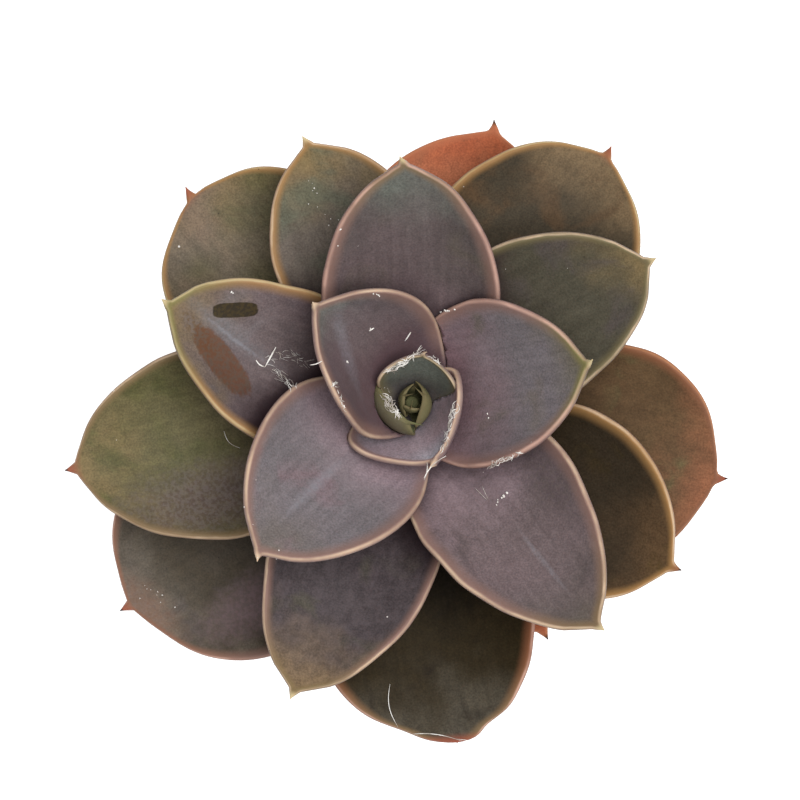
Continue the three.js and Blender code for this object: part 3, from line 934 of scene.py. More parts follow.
@dataclass
class Leaf:
    """One leaf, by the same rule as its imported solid, in millimetres and degrees.

    azimuth and reach give the tip as seen from above, and hook bends its last millimetres to the left. bow
    is how far the blade's middle stands to the left, roll lifts the left edge and lift the whole blade, and
    crease is the slope of a fold along the midrib. blunt rounds the blade's end, from 0, tapering, to 1,
    full. neck is the width at the root as a share of the greatest, and hips above 1 keep the blade narrow
    for longer. spike is the size of the spiny tip, usually 1. The youngest give a length and the pitches of
    root, middle and tip in place of a reach.
    """

    azimuth: float
    finish: LeafFinish
    reach: float = 0.0
    width: float = 30.0
    length: float = 0.0
    pitches: Optional[tuple[float, float, float]] = None
    bow: float = 0.0
    hook: float = 0.0
    hook_power: float = 16.0
    roll: float = 0.0
    crease: float = 0.0
    blunt: float = 0.6
    hips: float = 1.0
    neck: float = 0.3
    lift: float = 0.0
    spike: float = 1.0
    widest: Optional[float] = None
    cup: Optional[float] = None
    marks: tuple[Mark, ...] = ()
    index: int = field(default=0, init=False)

    def grow(self, index: int) -> "Leaf":
        """Works out what the leaf's age and its place on the stem decide.

        Args:
            index: Its place in the spiral, from 0, the oldest.

        Returns:
            The leaf itself.
        """
        self.index = index
        age = index / (Form.COUNT - 1)
        quick = age**Form.QUICKENING
        self.size = min(1.0, self.width / Form.FULL_WIDTH)
        pitches = self.pitches or [lerp(*pair, quick) + self.lift for pair in Form.PITCHES]
        self.turns = [math.radians(pitch) for pitch in pitches]
        self.root_z = lerp(Form.FIRST_Z, Form.LAST_Z, age)
        share = (Form.STEM_RADIUS - Form.ROOT_DEPTH) / Form.STEM_RADIUS
        self.root_radius = Form.stem_radius(self.root_z) * share
        self.widest = lerp(*Form.WIDEST, age) if self.widest is None else self.widest
        self.cup = lerp(*Form.CUP, age) if self.cup is None else self.cup
        self.belly = lerp(*Form.BELLY, age) * self.size
        self.spine = lerp(*Form.SPINE, age) * self.spike
        self.wave = Form.WAVE * self.size * (1.0 - Form.WAVE_CALM * age)
        self._draw_rib()
        return self

    def _draw_rib(self) -> None:
        """Adds up the midrib's steps, and its length."""
        self.rib = [(0.0, 0.0)]
        for i in range(Form.RIB_STEPS):
            pitch = self.pitch((i + 0.5) / Form.RIB_STEPS)
            out, rise = self.rib[-1]
            ahead, up = math.cos(pitch) / Form.RIB_STEPS, math.sin(pitch) / Form.RIB_STEPS
            self.rib.append((out + ahead, rise + up))
        self.length = self.length or (self.reach - self.root_radius) / self.rib[-1][0]

    def pitch(self, s: float) -> float:
        """The midrib's pitch in radians at s, from 0 at the root to 1 at the tip."""
        root, middle, tip = self.turns
        return root * (1 - s) * (1 - 2 * s) + middle * 4 * s * (1 - s) + tip * s * (2 * s - 1)

    def half_width(self, s: float) -> float:
        """Half the blade's width at s, with the spiny tip beyond its rounded end.

        Args:
            s: From 0 at the root to 1 at the tip.

        Returns:
            Half the width, in millimetres.
        """
        end = 1.0 - self.spine / self.length
        blade = 0.0
        if s < self.widest:
            blade = lerp(self.neck, 1.0, math.sin(math.pi / 2 * s / self.widest) ** self.hips)
        elif s < end:
            share = (s - self.widest) / (end - self.widest)
            blade = (1.0 - share**2) ** lerp(*Form.TAPER, self.blunt)
        beyond = ((1.0 - s) * self.length / self.size - Form.NIP_AT) / Form.NIP_SIZE
        nip = Form.NIP * math.exp(-(beyond**2))
        blade *= self.width / 2 * (1.0 - nip) * (1.0 + Form.SWELL * self.sway(s, Form.WIDTH_ROW))
        from_tip = min((1.0 - s) * self.length, Form.POINT_REACH)
        flare = Form.POINT_HALF + Form.POINT_FLARE * from_tip**Form.POINT_POWER
        point = self.size * self.spike * flare
        return (blade**Form.POINT_BLEND + point**Form.POINT_BLEND) ** (1 / Form.POINT_BLEND)

    def sway(self, s: float, row: float) -> float:
        """How far the margins wander at s, from -1 to 1, at the root and the tip not at all.

        Args:
            s: From 0 at the root to 1 at the tip.
            row: The row of the noise.

        Returns:
            The value of the noise there.
        """
        spot = Vector((s * self.length / Form.SWAY_SIZE, row, Form.SWAY_APART * self.index))
        calm = smooth(0.0, Form.SWAY_TIP, (1.0 - s) * self.length)
        return smooth(*Form.SWAY_SPAN, s) * calm * noise.noise(spot)

    def section(self, s: float) -> Section:
        """The cut across the leaf at s.

        Args:
            s: From 0 at the root to 1 at the tip.

        Returns:
            The cut.
        """
        i = min(Form.RIB_STEPS - 1, int(s * Form.RIB_STEPS))
        here = s * Form.RIB_STEPS - i
        out_share, rise_share = (lerp(a, b, here) for a, b in zip(self.rib[i], self.rib[i + 1]))
        radius = out_share * self.length + self.root_radius
        pitch = self.pitch(s)
        azimuth = math.radians(self.azimuth)
        out = Vector((math.cos(azimuth), math.sin(azimuth), 0.0))
        along = out * math.cos(pitch) + UP * math.sin(pitch)
        left = Matrix.Rotation(math.radians(self.roll), 3, along) @ UP.cross(out)
        side = self.bow * 4 * s * (1 - s) + self.hook * s**self.hook_power
        side += Form.SWAY * self.size * self.sway(s, Form.SIDE_ROW)
        height = rise_share * self.length + self.root_z
        centre = STEM_OFFSET + out * radius + UP * height + left * side
        trough = math.radians(self.cup) / (self.width / 2)
        clasp = (1 - s) ** 2 * math.sin(pitch) / radius
        half = self.half_width(s)
        rim = min(Form.RIM * self.size, Form.RIM_MOST * half)
        return Section(
            centre=centre,
            along=along,
            left=left,
            normal=along.cross(left),
            half=half,
            bend=min((trough**4 + clasp**4) ** 0.25, Form.WRAP / half),
            rim=rim,
            bead=Form.BEAD * rim / Form.RIM,
            belly=self.belly * math.sin(math.pi * lerp(Form.BELLY_FROM, 1.0, s)) ** Form.BELLY_POWER,
            fold=self.crease * s,
        )

    def ripple(self, s: float, across: float) -> float:
        """How far the blade stands off its even form, in millimetres.

        Args:
            s: From 0 at the root to 1 at the tip.
            across: Distance from the midrib to the left, in millimetres.

        Returns:
            The height above the even form.
        """
        along, aside = s * self.length / Form.WAVE_SIZE, across / Form.WAVE_SIZE
        spot = Vector((along, aside, Form.WAVE_APART * self.index))
        return self.wave * smooth(*Form.WAVE_SPAN, s) * noise.noise(spot)

    def build(self, name: str, room: float = 0.0) -> bpy.types.Object:
        """Makes the leaf's mesh: a grid given thickness, bent into the leaf, with a rounded margin.

        Args:
            name: The object's name.
            room: How far the skin is moved outwards, to make the room that the leaf needs.

        Returns:
            The leaf, in place.
        """
        bm = bmesh.new()
        bmesh.ops.create_grid(bm, x_segments=Form.STATIONS, y_segments=Form.STRIPS, size=1.0)
        bmesh.ops.solidify(bm, geom=bm.faces[:], thickness=1.0)
        bmesh.ops.recalc_face_normals(bm, faces=bm.faces)
        upright = [e for e in bm.edges if abs(e.verts[0].co.z - e.verts[1].co.z) > 0.5]
        bmesh.ops.subdivide_edges(bm, edges=upright, cuts=Form.ROUNDS, use_grid_fill=True)
        top = max(v.co.z for v in bm.verts)
        spot = bm.verts.layers.float_vector.new("spot")
        along = bm.verts.layers.float.new("along")
        from_tip = bm.verts.layers.float.new("from_tip")
        under = bm.verts.layers.float.new("under")
        cuts: dict[int, tuple[float, Section]] = {}
        for vert in bm.verts:
            column = round((vert.co.x + 1.0) / 2.0 * Form.STATIONS)
            if column not in cuts:
                s = math.sin(math.pi / 2 * column / Form.STATIONS) ** Form.CROWDING
                cuts[column] = (s, self.section(s))
            s, cut = cuts[column]
            share = math.sin(math.pi / 2 * min(1.0, max(-1.0, vert.co.y)))
            vert[under] = top - vert.co.z
            point, across = cut.skin(share, vert[under])
            vert[along] = s
            vert[from_tip] = (1.0 - s) * self.length
            vert[spot] = (across, s * self.length, cut.half - abs(across))
            if column == Form.STATIONS:
                point += cut.along * cut.round * math.sin(math.pi * vert[under])
            vert.co = (point + cut.normal * self.ripple(s, across)) * MM
        face_outward(bm)
        if room:
            bm.normal_update()
            for vert in bm.verts:
                vert.co += vert.normal * room * MM
        return finished(bm, name)


def face_outward(bm: bmesh.types.BMesh) -> None:
    """Turns the faces of a closed shape outwards, also where a tight fold misleads the operator.

    Args:
        bm: The closed shape.
    """
    bmesh.ops.recalc_face_normals(bm, faces=bm.faces)
    if bm.calc_volume(signed=True) < 0.0:
        bmesh.ops.reverse_faces(bm, faces=bm.faces)


def finished(bm: bmesh.types.BMesh, name: str) -> bpy.types.Object:
    """Turns a bmesh into a smooth object at the origin.

    Args:
        bm: The shape, in metres. It is freed.
        name: The object's name.

    Returns:
        The object, linked to the scene.
    """
    mesh = bpy.data.meshes.new(name)
    for face in bm.faces:
        face.smooth = True
    bm.to_mesh(mesh)
    bm.free()
    made = bpy.data.objects.new(name, mesh)
    bpy.context.scene.collection.objects.link(made)
    return made


def carve(piece: bpy.types.Object, rooms: Iterable[bpy.types.Object]) -> None:
    """Cuts the rooms of other pieces out of a piece, and keeps its largest part.

    Args:
        piece: The piece to cut.
        rooms: What is cut out of it.
    """
    for room in rooms:
        cut = piece.modifiers.new("room", "BOOLEAN")
        cut.operation = "DIFFERENCE"
        cut.solver = "MANIFOLD"
        cut.object = room
    ready = piece.evaluated_get(bpy.context.evaluated_depsgraph_get())
    piece.data = bpy.data.meshes.new_from_object(ready)
    piece.modifiers.clear()
    bm = bmesh.new()
    bm.from_mesh(piece.data)
    keep = max(parts_of(bm), key=len)
    bmesh.ops.delete(bm, geom=[vert for vert in bm.verts if vert not in keep], context="VERTS")
    bm.to_mesh(piece.data)
    bm.free()


def parts_of(bm: bmesh.types.BMesh) -> list[set[bmesh.types.BMVert]]:
    """The points of each part of a shape that hangs together.

    Args:
        bm: The shape.

    Returns:
        The parts, in no order.
    """
    left = set(bm.verts)
    parts = []
    while left:
        part = {left.pop()}
        edge = list(part)
        while edge:
            near = {other for link in edge.pop().link_edges for other in link.verts} & left
            left -= near
            part |= near
            edge += near
        parts.append(part)
    return parts


def apart(first: bpy.types.Object, second: bpy.types.Object) -> bool:
    """Whether the boxes of two pieces don't meet.

    Args:
        first: One piece.
        second: The other piece.

    Returns:
        True where they lie apart.
    """
    boxes = [[Vector(corner) for corner in piece.bound_box] for piece in (first, second)]
    for i in range(3):
        spans = [(min(c[i] for c in box), max(c[i] for c in box)) for box in boxes]
        if spans[0][0] > spans[1][1] or spans[1][0] > spans[0][1]:
            return True
    return False


def dress(piece: bpy.types.Object, material: bpy.types.Material, slot: str, *nodes: str) -> None:
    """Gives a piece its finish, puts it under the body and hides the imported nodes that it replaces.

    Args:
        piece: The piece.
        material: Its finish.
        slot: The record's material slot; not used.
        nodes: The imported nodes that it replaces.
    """
    piece.data.materials.clear()
    piece.data.materials.append(material)
    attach(piece, BODY)
    if nodes:
        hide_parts(*nodes)
    low = Vector([min(c[i] for c in piece.bound_box) for i in range(3)]) / MM
    high = Vector([max(c[i] for c in piece.bound_box) for i in range(3)]) / MM
    LOG.info(
        "%s: %d faces, %s to %s mm", piece.name, len(piece.data.polygons),
        [round(x, 1) for x in low], [round(x, 1) for x in high],
    )


BEVEL_SHARE, BEVEL_STEPS = 0.6, 4  # of a corner's rounding
MERGE = 0.001  # points nearer than this become one, in millimetres


def turned(
    profile: Sequence[tuple[float, float]],
    rounds: dict[int, float],
    pitch: float,
    steps: int,
    closed: bool,
) -> bmesh.types.BMesh:
    """Spins a profile round the upright axis.

    Args:
        profile: Radius and height of each corner, in millimetres.
        rounds: The radius that rounds a corner, by the corner's number.
        pitch: Distance between the rings, in millimetres.
        steps: Number of sides.
        closed: Whether the last corner joins the first.

    Returns:
        The shape, in metres.
    """
    bm = bmesh.new()
    corners = [bm.verts.new((radius * MM, 0.0, z * MM)) for radius, z in profile]
    ends = corners[1:] + corners[:1] if closed else corners[1:]
    for pair in zip(corners, ends):
        bm.edges.new(pair)
    for number, radius in rounds.items():
        bmesh.ops.bevel(
            bm, geom=[corners[number]], offset=radius * BEVEL_SHARE * MM, offset_type="OFFSET",
            segments=BEVEL_STEPS, profile=0.5, affect="VERTICES", material=-1,
        )
    for edge in bm.edges[:]:
        cuts = int(edge.calc_length() / (pitch * MM))
        if cuts:
            bmesh.ops.subdivide_edges(bm, edges=[edge], cuts=cuts)
    bmesh.ops.spin(
        bm, geom=bm.verts[:] + bm.edges[:], cent=(0, 0, 0), axis=(0, 0, 1), angle=2 * math.pi,
        steps=steps, use_merge=True,
    )
    bmesh.ops.remove_doubles(bm, verts=bm.verts, dist=MERGE * MM)
    face_outward(bm)
    return bm


# The leaves from the oldest to the youngest
LEAVES = (
    Leaf(21, RUSTY, reach=54, width=34, lift=-2),
    Leaf(159, RUSTY, reach=60, width=37, lift=-2),
    Leaf(300, RUSTY, reach=62, width=38, lift=-2),
    Leaf(72, RUSTY, reach=66.5, width=49, hook=2, lift=-1),
    Leaf(
        215.5, BROWNED, reach=80, width=54, bow=3, widest=0.64, blunt=0.95,
        marks=(
            Mark(14, 50, 9, 19, 0, Tone.MAUVE, depth=0.75, soft=1.4, grain=Tone.TAUPE),
            Mark(4, 74, 16, 9, 0, Tone.TOFFEE, depth=0.7, soft=1.8, grain=Tone.ROSE),
        ),
    ),
    Leaf(344.8, RUDDY, reach=72.5, width=49, bow=1, hook=2.2, widest=0.62, blunt=1),
    Leaf(138, OLIVE, reach=69.5, width=48, hook=-2, widest=0.6, blunt=1.05),
    Leaf(
        274.6, BURNT, reach=76.2, width=51, bow=-1, hook=4.5, widest=0.58, blunt=1.1, spike=0.3,
        # The mark is painted shadow: it blackens the root, where the leaves above shade it.
        marks=(Mark(5, 38, 9, 14, 0, Tone.CHAR_AND_SHADOW, depth=0.9, soft=1.6),),
    ),
    Leaf(51, BRONZE, reach=71.5, width=47, hook=1.4, widest=0.56, blunt=0.9),
    Leaf(
        191, GREEN, reach=77, width=44.5, widest=0.53, blunt=0.75,
        marks=(Mark(13, 46, 12, 28, 0, Tone.TAUPE, depth=0.85, grain=Tone.WINE),),
    ),
    Leaf(326.5, SCORCHED, reach=69, width=41, bow=1.5, hook=2, roll=5, widest=0.58, neck=0.2, hips=1.5),
    Leaf(111.4, SHADED, reach=62.5, width=35, hook=1, widest=0.56),
    Leaf(247.6, DUSKY, reach=68.5, width=37, bow=1),
    Leaf(30.7, DEEP, reach=60.5, width=37, bow=2),
    Leaf(
        157.5, MIDDLE, reach=57.5, width=35, bow=4, roll=8, crease=0.15,
        marks=(
            # The first two marks are painted highlights, pale streaks along the midrib. The other three are
            # rubbed patches in the bloom.
            Mark(-2, 46, 3.4, 19, -8, Tone.SLATE, depth=0.4, square=1.6, grain=Tone.PEWTER),
            Mark(-1.2, 44, 0.7, 13, -8, Tone.HAZE, depth=0.35, square=1.6, grain=Tone.PEWTER),
            Mark(-6.8, 47, 1.6, 5.4, 31, Tone.SMUT, depth=0.97, soft=0.3, square=4, grain=Tone.TAR),
            Mark(1.6, 52.5, 2.8, 9, -24, Tone.SEPIA, depth=0.6, soft=1.1, grain=Tone.PEWTER),
            Mark(4.6, 45.5, 4.0, 9.5, -24, Tone.CHESTNUT, depth=0.8, soft=0.4, square=2.2, grain=Tone.UMBER),
        ),
    ),
    Leaf(
        308.7, FLUSHED, reach=62, width=36.5, bow=1, hook=1.6, blunt=0.4, crease=0.15,
        marks=(
            # The first mark is a painted highlight along the midrib; the second darkens a patch on the left
            # of the blade.
            Mark(0, 50, 0.9, 12, 0, Tone.HAZE, depth=0.3, square=1.6, grain=Tone.PEWTER),
            Mark(13, 34, 9, 20, 0, Tone.MURK, depth=0.6, grain=Tone.LODEN),
        ),
    ),
    Leaf(91, DIM, reach=51.5, width=39.5, hook=1.7, blunt=0.65),
    Leaf(
        222.5, INNER, reach=46, width=39, bow=-1, hook=2.4, blunt=0.4,
        # The mark is a painted highlight along the midrib.
        marks=(Mark(0, 34, 2.0, 15, 0, Tone.HAZE, depth=0.4, square=1.6, grain=Tone.LILAC),),
    ),
    Leaf(10.6, SPRUNG, reach=38.3, width=37, bow=1, hook=2, roll=-6, blunt=0.4, neck=0.5),
    Leaf(
        135, COOL, reach=29.5, width=31.5, bow=-0.2, hook=-0.2, roll=17, crease=0.4, neck=0.6,
        # The mark is a painted highlight along the crease.
        marks=(Mark(3.4, 27, 3.0, 15, -30, Tone.HAZE, depth=0.5, square=1.6, grain=Tone.SLATE),),
    ),
    Leaf(
        292, BUD, reach=14, width=31, bow=-0.3, hook=-1.8, roll=12, crease=0.35, cup=54, neck=0.3,
        widest=0.42, blunt=0.95,
    ),
    Leaf(
        80, HOOD, reach=11.3, width=19, bow=-0.7, hook=-1.2, crease=0.2, cup=46, neck=0.5, widest=0.58,
        hips=1.4, blunt=1,
    ),
    Leaf(
        218, SHEATH, length=17.5, pitches=(22, 95, 150), width=14.5, bow=-2.5, hook=5.2, hook_power=2,
        neck=0.6,
    ),
    Leaf(
        0, HEART, length=12, pitches=(55, 92, 150), width=10, bow=-1, hook=3.5, hook_power=2, crease=0.8,
        cup=30, neck=0.7,
    ),
    Leaf(
        165, HEART, length=9, pitches=(60, 95, 145), width=7.5, hook=-2, hook_power=2, crease=0.7,
        cup=30, neck=0.7,
    ),
    Leaf(255, HEART, length=7, pitches=(60, 105, 150), width=6, crease=0.6, cup=30, neck=0.7),
)


@dataclass(frozen=True)
class Eye:
    """Where the camera stands, in millimetres, and how places in its picture meet the leaves."""

    place: tuple[float, float, float] = (-0.1, 5.9, 700.0)
    lens: float = 120.0
    sensor: float = 36.0
    pixels: float = 800.0

    def toward(self, spot: tuple[float, float]) -> Vector:
        """The line of sight through a place in the picture, in pixels from its top left.

        Args:
            spot: The place in the picture.

        Returns:
            The direction, of length 1.
        """
        scale = self.sensor / self.lens / self.pixels
        middle = self.pixels / 2
        return Vector(((spot[0] - middle) * scale, (middle - spot[1]) * scale, -1.0)).normalized()

    def land(self, tree: BVHTree, spot: tuple[float, float], lift: float) -> Optional[Vector]:
        """A point above the leaf that a place in the picture shows, or None beside the leaves.

        Args:
            tree: The leaves' faces.
            spot: The place in the picture, in pixels.
            lift: Height above the leaf, in millimetres.

        Returns:
            The point, in metres.
        """
        hit, normal, _, _ = tree.ray_cast(Vector(self.place) * MM, self.toward(spot))
        return None if hit is None else hit + normal * lift * MM


EYE = Eye()


def tree_of(pieces: Iterable[bpy.types.Object]) -> BVHTree:
    """The faces of all pieces together, for casting rays.

    Args:
        pieces: The pieces, each in place.

    Returns:
        The faces, in metres.
    """
    points, faces = [], []
    for piece in pieces:
        start = len(points)
        points += [vert.co for vert in piece.data.vertices]
        faces += [[start + i for i in face.vertices] for face in piece.data.polygons]
    return BVHTree.FromPolygons(points, faces)


@dataclass(frozen=True)
class Shelter:
    """How far other leaves keep the light from a leaf, measured with a fan of rays.

    spread is in degrees from the upright. The lower face, from under_from on, isn't measured. The leaves'
    finishes paint shade into their colour by this measure.
    """

    rays: int = 16
    spread: float = 65.0
    reach: float = 16.0
    lift: float = 0.3
    under_from: float = 0.6

    def fan(self) -> list[Vector]:
        """Directions spread evenly round the upright, within the spread.

        Returns:
            The directions, of length 1.
        """
        turn = math.pi * (3.0 - math.sqrt(5.0))
        low = math.cos(math.radians(self.spread))
        rays = []
        for i in range(self.rays):
            z = lerp(1.0, low, (i + 0.5) / self.rays)
            flat = math.sqrt(1.0 - z * z)
            rays.append(Vector((flat * math.cos(i * turn), flat * math.sin(i * turn), z)))
        return rays

    def mark(self, blades: Sequence[bpy.types.Object]) -> None:
        """Writes the measure on the points of each blade, as the attribute that the painted shade reads.

        Args:
            blades: The leaves, each of which may shelter the others.
        """
        tree = tree_of(blades)
        fan = self.fan()
        for blade in blades:
            mesh = blade.data
            leaf_shadow = mesh.attributes.new("leaf_shadow", "FLOAT", "POINT").data
            under = mesh.attributes["under"].data
            for vert in mesh.vertices:
                if under[vert.index].value > self.under_from:
                    continue
                start = vert.co + vert.normal * self.lift * MM
                hidden = 0.0
                for ray in fan:
                    far = tree.ray_cast(start, ray, self.reach * MM)[3]
                    hidden += 0.0 if far is None else 1.0 - far / (self.reach * MM)
                leaf_shadow[vert.index].value = hidden / self.rays


@dataclass
class Rosette:
    """The leaves in their spiral, from the oldest to the youngest.

    The first ones are single nodes, and the others are one node with the stem.
    """

    SLOTS = ("outer_leaf", "middle_leaf", "inner_leaf")

    leaves: Sequence[Leaf] = LEAVES
    single: int = 24
    gap: float = 0.25
    blades: list[bpy.types.Object] = field(default_factory=list)

    def build(self, effects: Effects, stem_room: bpy.types.Object) -> None:
        """Makes and dresses the leaves.

        Args:
            effects: The shared effects.
            stem_room: The room that the stem needs, which is used up.
        """
        rooms = [leaf.grow(i).build(f"room_{i}", self.gap) for i, leaf in enumerate(self.leaves)]
        rooms.append(stem_room)
        for index, leaf in enumerate(self.leaves):
            blade = leaf.build(f"blade_{index + 1:02d}")
            carve(blade, [room for room in rooms[index + 1 :] if not apart(blade, room)])
            material = leaf.finish.material(f"leaf_finish_{index + 1:02d}", effects, leaf.marks)
            node = f"leaf_{index + 1:02d}" if index < self.single else "stem"
            dress(blade, material, self.slot(index), node)
            self.blades.append(blade)
        for room in rooms:
            bpy.data.objects.remove(room)
        Shelter().mark(self.blades)

    def slot(self, index: int) -> str:
        """The record's slot of a leaf.

        Args:
            index: The leaf's place in the spiral, from 0.

        Returns:
            The slot's name.
        """
        if index >= self.single:
            return "stem"
        return self.SLOTS[index * len(self.SLOTS) // self.single]


@dataclass(frozen=True)
class Thread:
    """A strand of lint between two places in the picture, in pixels."""

    start: tuple[float, float]
    end: tuple[float, float]
    width: float = 0.2
    bow: float = 0.0
    lift: float = 0.15


@dataclass(frozen=True)
class Tuft:
    """A tangle of short strands along a line in the picture, in pixels."""

    start: tuple[float, float]
    end: tuple[float, float]
    count: int
    reach: float = 3.0
    length: float = 9.0
    width: float = 0.14


@dataclass(frozen=True)
class Specks:
    """Pale flakes strewn between two places in the picture, in pixels."""

    start: tuple[float, float]
    end: tuple[float, float]
    count: int
    reach: float = 1.0
    size: float = 0.3


@dataclass
class Litter:
    """The lint, the hairs and the flakes that lie on the leaves.

    A thread has a place every step pixels, and goes straight on where the leaf falls by more than drop
    millimetres between two of them. Its ends are as thin as that share of its width.
    """

    threads: Sequence[Thread] = (
        Thread((265, 367), (276, 347), width=0.35, lift=0.5),
        Thread((256, 360), (265, 367), width=0.3, bow=1.5),
        Thread((310, 365), (322, 361), bow=1.0),
        Thread((405, 341), (411, 332), width=0.3),
        Thread((369, 331), (374, 328), width=0.28),
        Thread((475, 488), (487, 500), width=0.1),
        Thread((482, 486), (488, 499), width=0.1),
        Thread((390, 684), (398, 727), width=0.16, bow=5.0),
        Thread((404, 735), (462, 741), width=0.16, bow=-4.0),
        Thread((456, 739), (488, 753), width=0.12, bow=-4.0),
        Thread((446, 456), (424, 478), width=0.25, bow=3.0),
        Thread((427, 462), (424, 480), width=0.2, bow=-1.5),
        Thread((224, 431), (240, 448), width=0.12, bow=4.0),
    )
    tufts: Sequence[Tuft] = (
        Tuft((272, 358), (306, 362), 26, reach=9.0, length=7.0, width=0.07),
        Tuft((270, 366), (294, 386), 30, reach=4.0, length=9.0, width=0.08),
        Tuft((388, 373), (424, 349), 46, reach=2.6, length=9.0),
        Tuft((424, 352), (440, 364), 10, reach=2.5, length=6.0),
        Tuft((384, 394), (398, 416), 50, reach=4.0, length=9.0),
        Tuft((455, 404), (442, 452), 40, reach=1.6, length=10.0),
        Tuft((490, 465), (520, 454), 26, reach=2.0, length=7.0),
        Tuft((333, 384), (338, 383), 12, reach=2.0, length=5.0),
        Tuft((337, 388), (345, 410), 10, reach=1.5, length=5.0),
    )
    specks: Sequence[Specks] = (
        Specks((370, 329), (371, 328), 2),
        Specks((346, 361), (348, 363), 2, size=0.35),
        Specks((497, 503), (507, 492), 9, reach=2.5, size=0.35),
        Specks((440, 312), (456, 310), 8),
        Specks((372, 293), (381, 296), 7),
        Specks((306, 178), (352, 250), 16, reach=10.0, size=0.2),
        Specks((484, 408), (498, 434), 3, size=0.25),
        Specks((230, 292), (236, 294), 2, size=0.4),
        Specks((225, 495), (285, 560), 6, reach=20.0, size=0.2),
        Specks((140, 590), (175, 605), 10, reach=7.0, size=0.22),
    )
    thickness: float = 0.06
    seed: int = 5
    step: float = 3.0
    drop: float = 1.2
    stray: float = 0.5
    thin: float = 0.3

    def build(self, blades: Sequence[bpy.types.Object]) -> None:
        """Makes and dresses the lint and the flakes.

        Args:
            blades: The leaves that carry them.
        """
        draw = random.Random(self.seed)
        self.tree = tree_of(blades)
        lint = bmesh.new()
        for thread in self.threads:
            self._strand(lint, thread)
        for tuft in self.tufts:
            for _ in range(tuft.count):
                self._strand(lint, self._stray(tuft, draw))
        bmesh.ops.solidify(lint, geom=lint.faces[:], thickness=self.thickness * MM)
        bmesh.ops.recalc_face_normals(lint, faces=lint.faces)
        flakes = bmesh.new()
        for group in self.specks:
            self._strew(flakes, group, draw)
        dress(finished(lint, "lint"), self.material("pale_lint", 0.6), "inner_leaf")
        dress(finished(flakes, "flakes"), self.material("pale_flakes", 0.15), "middle_leaf")

    @staticmethod
    def material(name: str, depth: float) -> bpy.types.Material:
        """Dull white, with grey and brown stains.

        Args:
            name: The material's name.
            depth: How far the stains go.

        Returns:
            The new material.
        """

        def paint(graph: Graph) -> tuple[Value, Value, Value]:
            """Stains a pale tone.

            Args:
                graph: The material's graph.

            Returns:
                The colour, the roughness and the height.
            """
            place = graph.place()
            stain = graph.step(graph.grain(place, 2.5, 3), 0.45, 0.62)
            color = graph.mix(graph.product(stain, depth), Tone.FLUFF.rgba, Tone.CORK.rgba)
            return color, None, graph.grain(place, 0.2, 2)

        return Surface(roughness=0.85, bump=0.3, bump_depth=0.05).finish(name, paint)

    def _between(self, group: Union[Tuft, Specks], draw: random.Random) -> Vector:
        """A place near the group's line, in pixels."""
        spot = Vector(group.start).lerp(Vector(group.end), draw.random())
        return spot + Vector((draw.gauss(0, self.stray), draw.gauss(0, self.stray))) * group.reach

    def _stray(self, tuft: Tuft, draw: random.Random) -> Thread:
        """One strand of a tuft, more or less along it.

        Args:
            tuft: The tuft.
            draw: Where the random numbers come from.

        Returns:
            The strand.
        """
        middle = self._between(tuft, draw)
        run = (Vector(tuft.end) - Vector(tuft.start)).normalized()
        run.rotate(Matrix.Rotation(draw.gauss(0, self.stray), 2))
        half = run * tuft.length * draw.uniform(0.25, 0.6)
        bow = draw.gauss(0, 0.15) * tuft.length
        width = tuft.width * draw.uniform(0.5, 1.3)
        return Thread(tuple(middle - half), tuple(middle + half), width, bow, draw.uniform(0.1, 0.5))

    def _path(self, thread: Thread) -> list[Vector]:
        """The places of a thread: on the leaves, and straight on where they fall away below it.

        Args:
            thread: The thread.

        Returns:
            The places in metres, or none where no leaf lies below the thread.
        """
        start, end = Vector(thread.start), Vector(thread.end)
        aside = (end - start).orthogonal().normalized() * thread.bow
        count = max(3, round((end - start).length / self.step))
        spots = [
            start.lerp(end, i / count) + aside * math.sin(math.pi * i / count) for i in range(count + 1)
        ]
        eye = Vector(EYE.place) * MM
        points = [EYE.land(self.tree, spot, thread.lift) for spot in spots]
        depths = [math.inf if point is None else (point - eye).length for point in points]
        top = depths.index(min(depths))
        if depths[top] == math.inf:
            return []
        for way in (range(top + 1, count + 1), range(top - 1, -1, -1)):
            before = depths[top]
            for i in way:
                if depths[i] > before + self.drop * MM:
                    depths[i] = before
                before = depths[i]
        return [eye + EYE.toward(spot) * depth for spot, depth in zip(spots, depths)]

    def _strand(self, bm: bmesh.types.BMesh, thread: Thread) -> None:
        """Adds a flat strand along a thread.

        Args:
            bm: The shape that takes the strand.
            thread: The thread.
        """
        path = self._path(thread)
        last = len(path) - 1
        if last < 2:
            return
        for vert in bmesh.ops.create_grid(bm, x_segments=last, y_segments=1, size=1.0)["verts"]:
            i = round((vert.co.x + 1.0) / 2.0 * last)
            ahead = path[min(i + 1, last)] - path[max(i - 1, 0)]
            taper = lerp(self.thin, 1.0, math.sin(math.pi * (i + 0.5) / (last + 1)))
            aside = ahead.cross(UP).normalized()
            vert.co = path[i] + aside * vert.co.y * taper * thread.width / 2 * MM

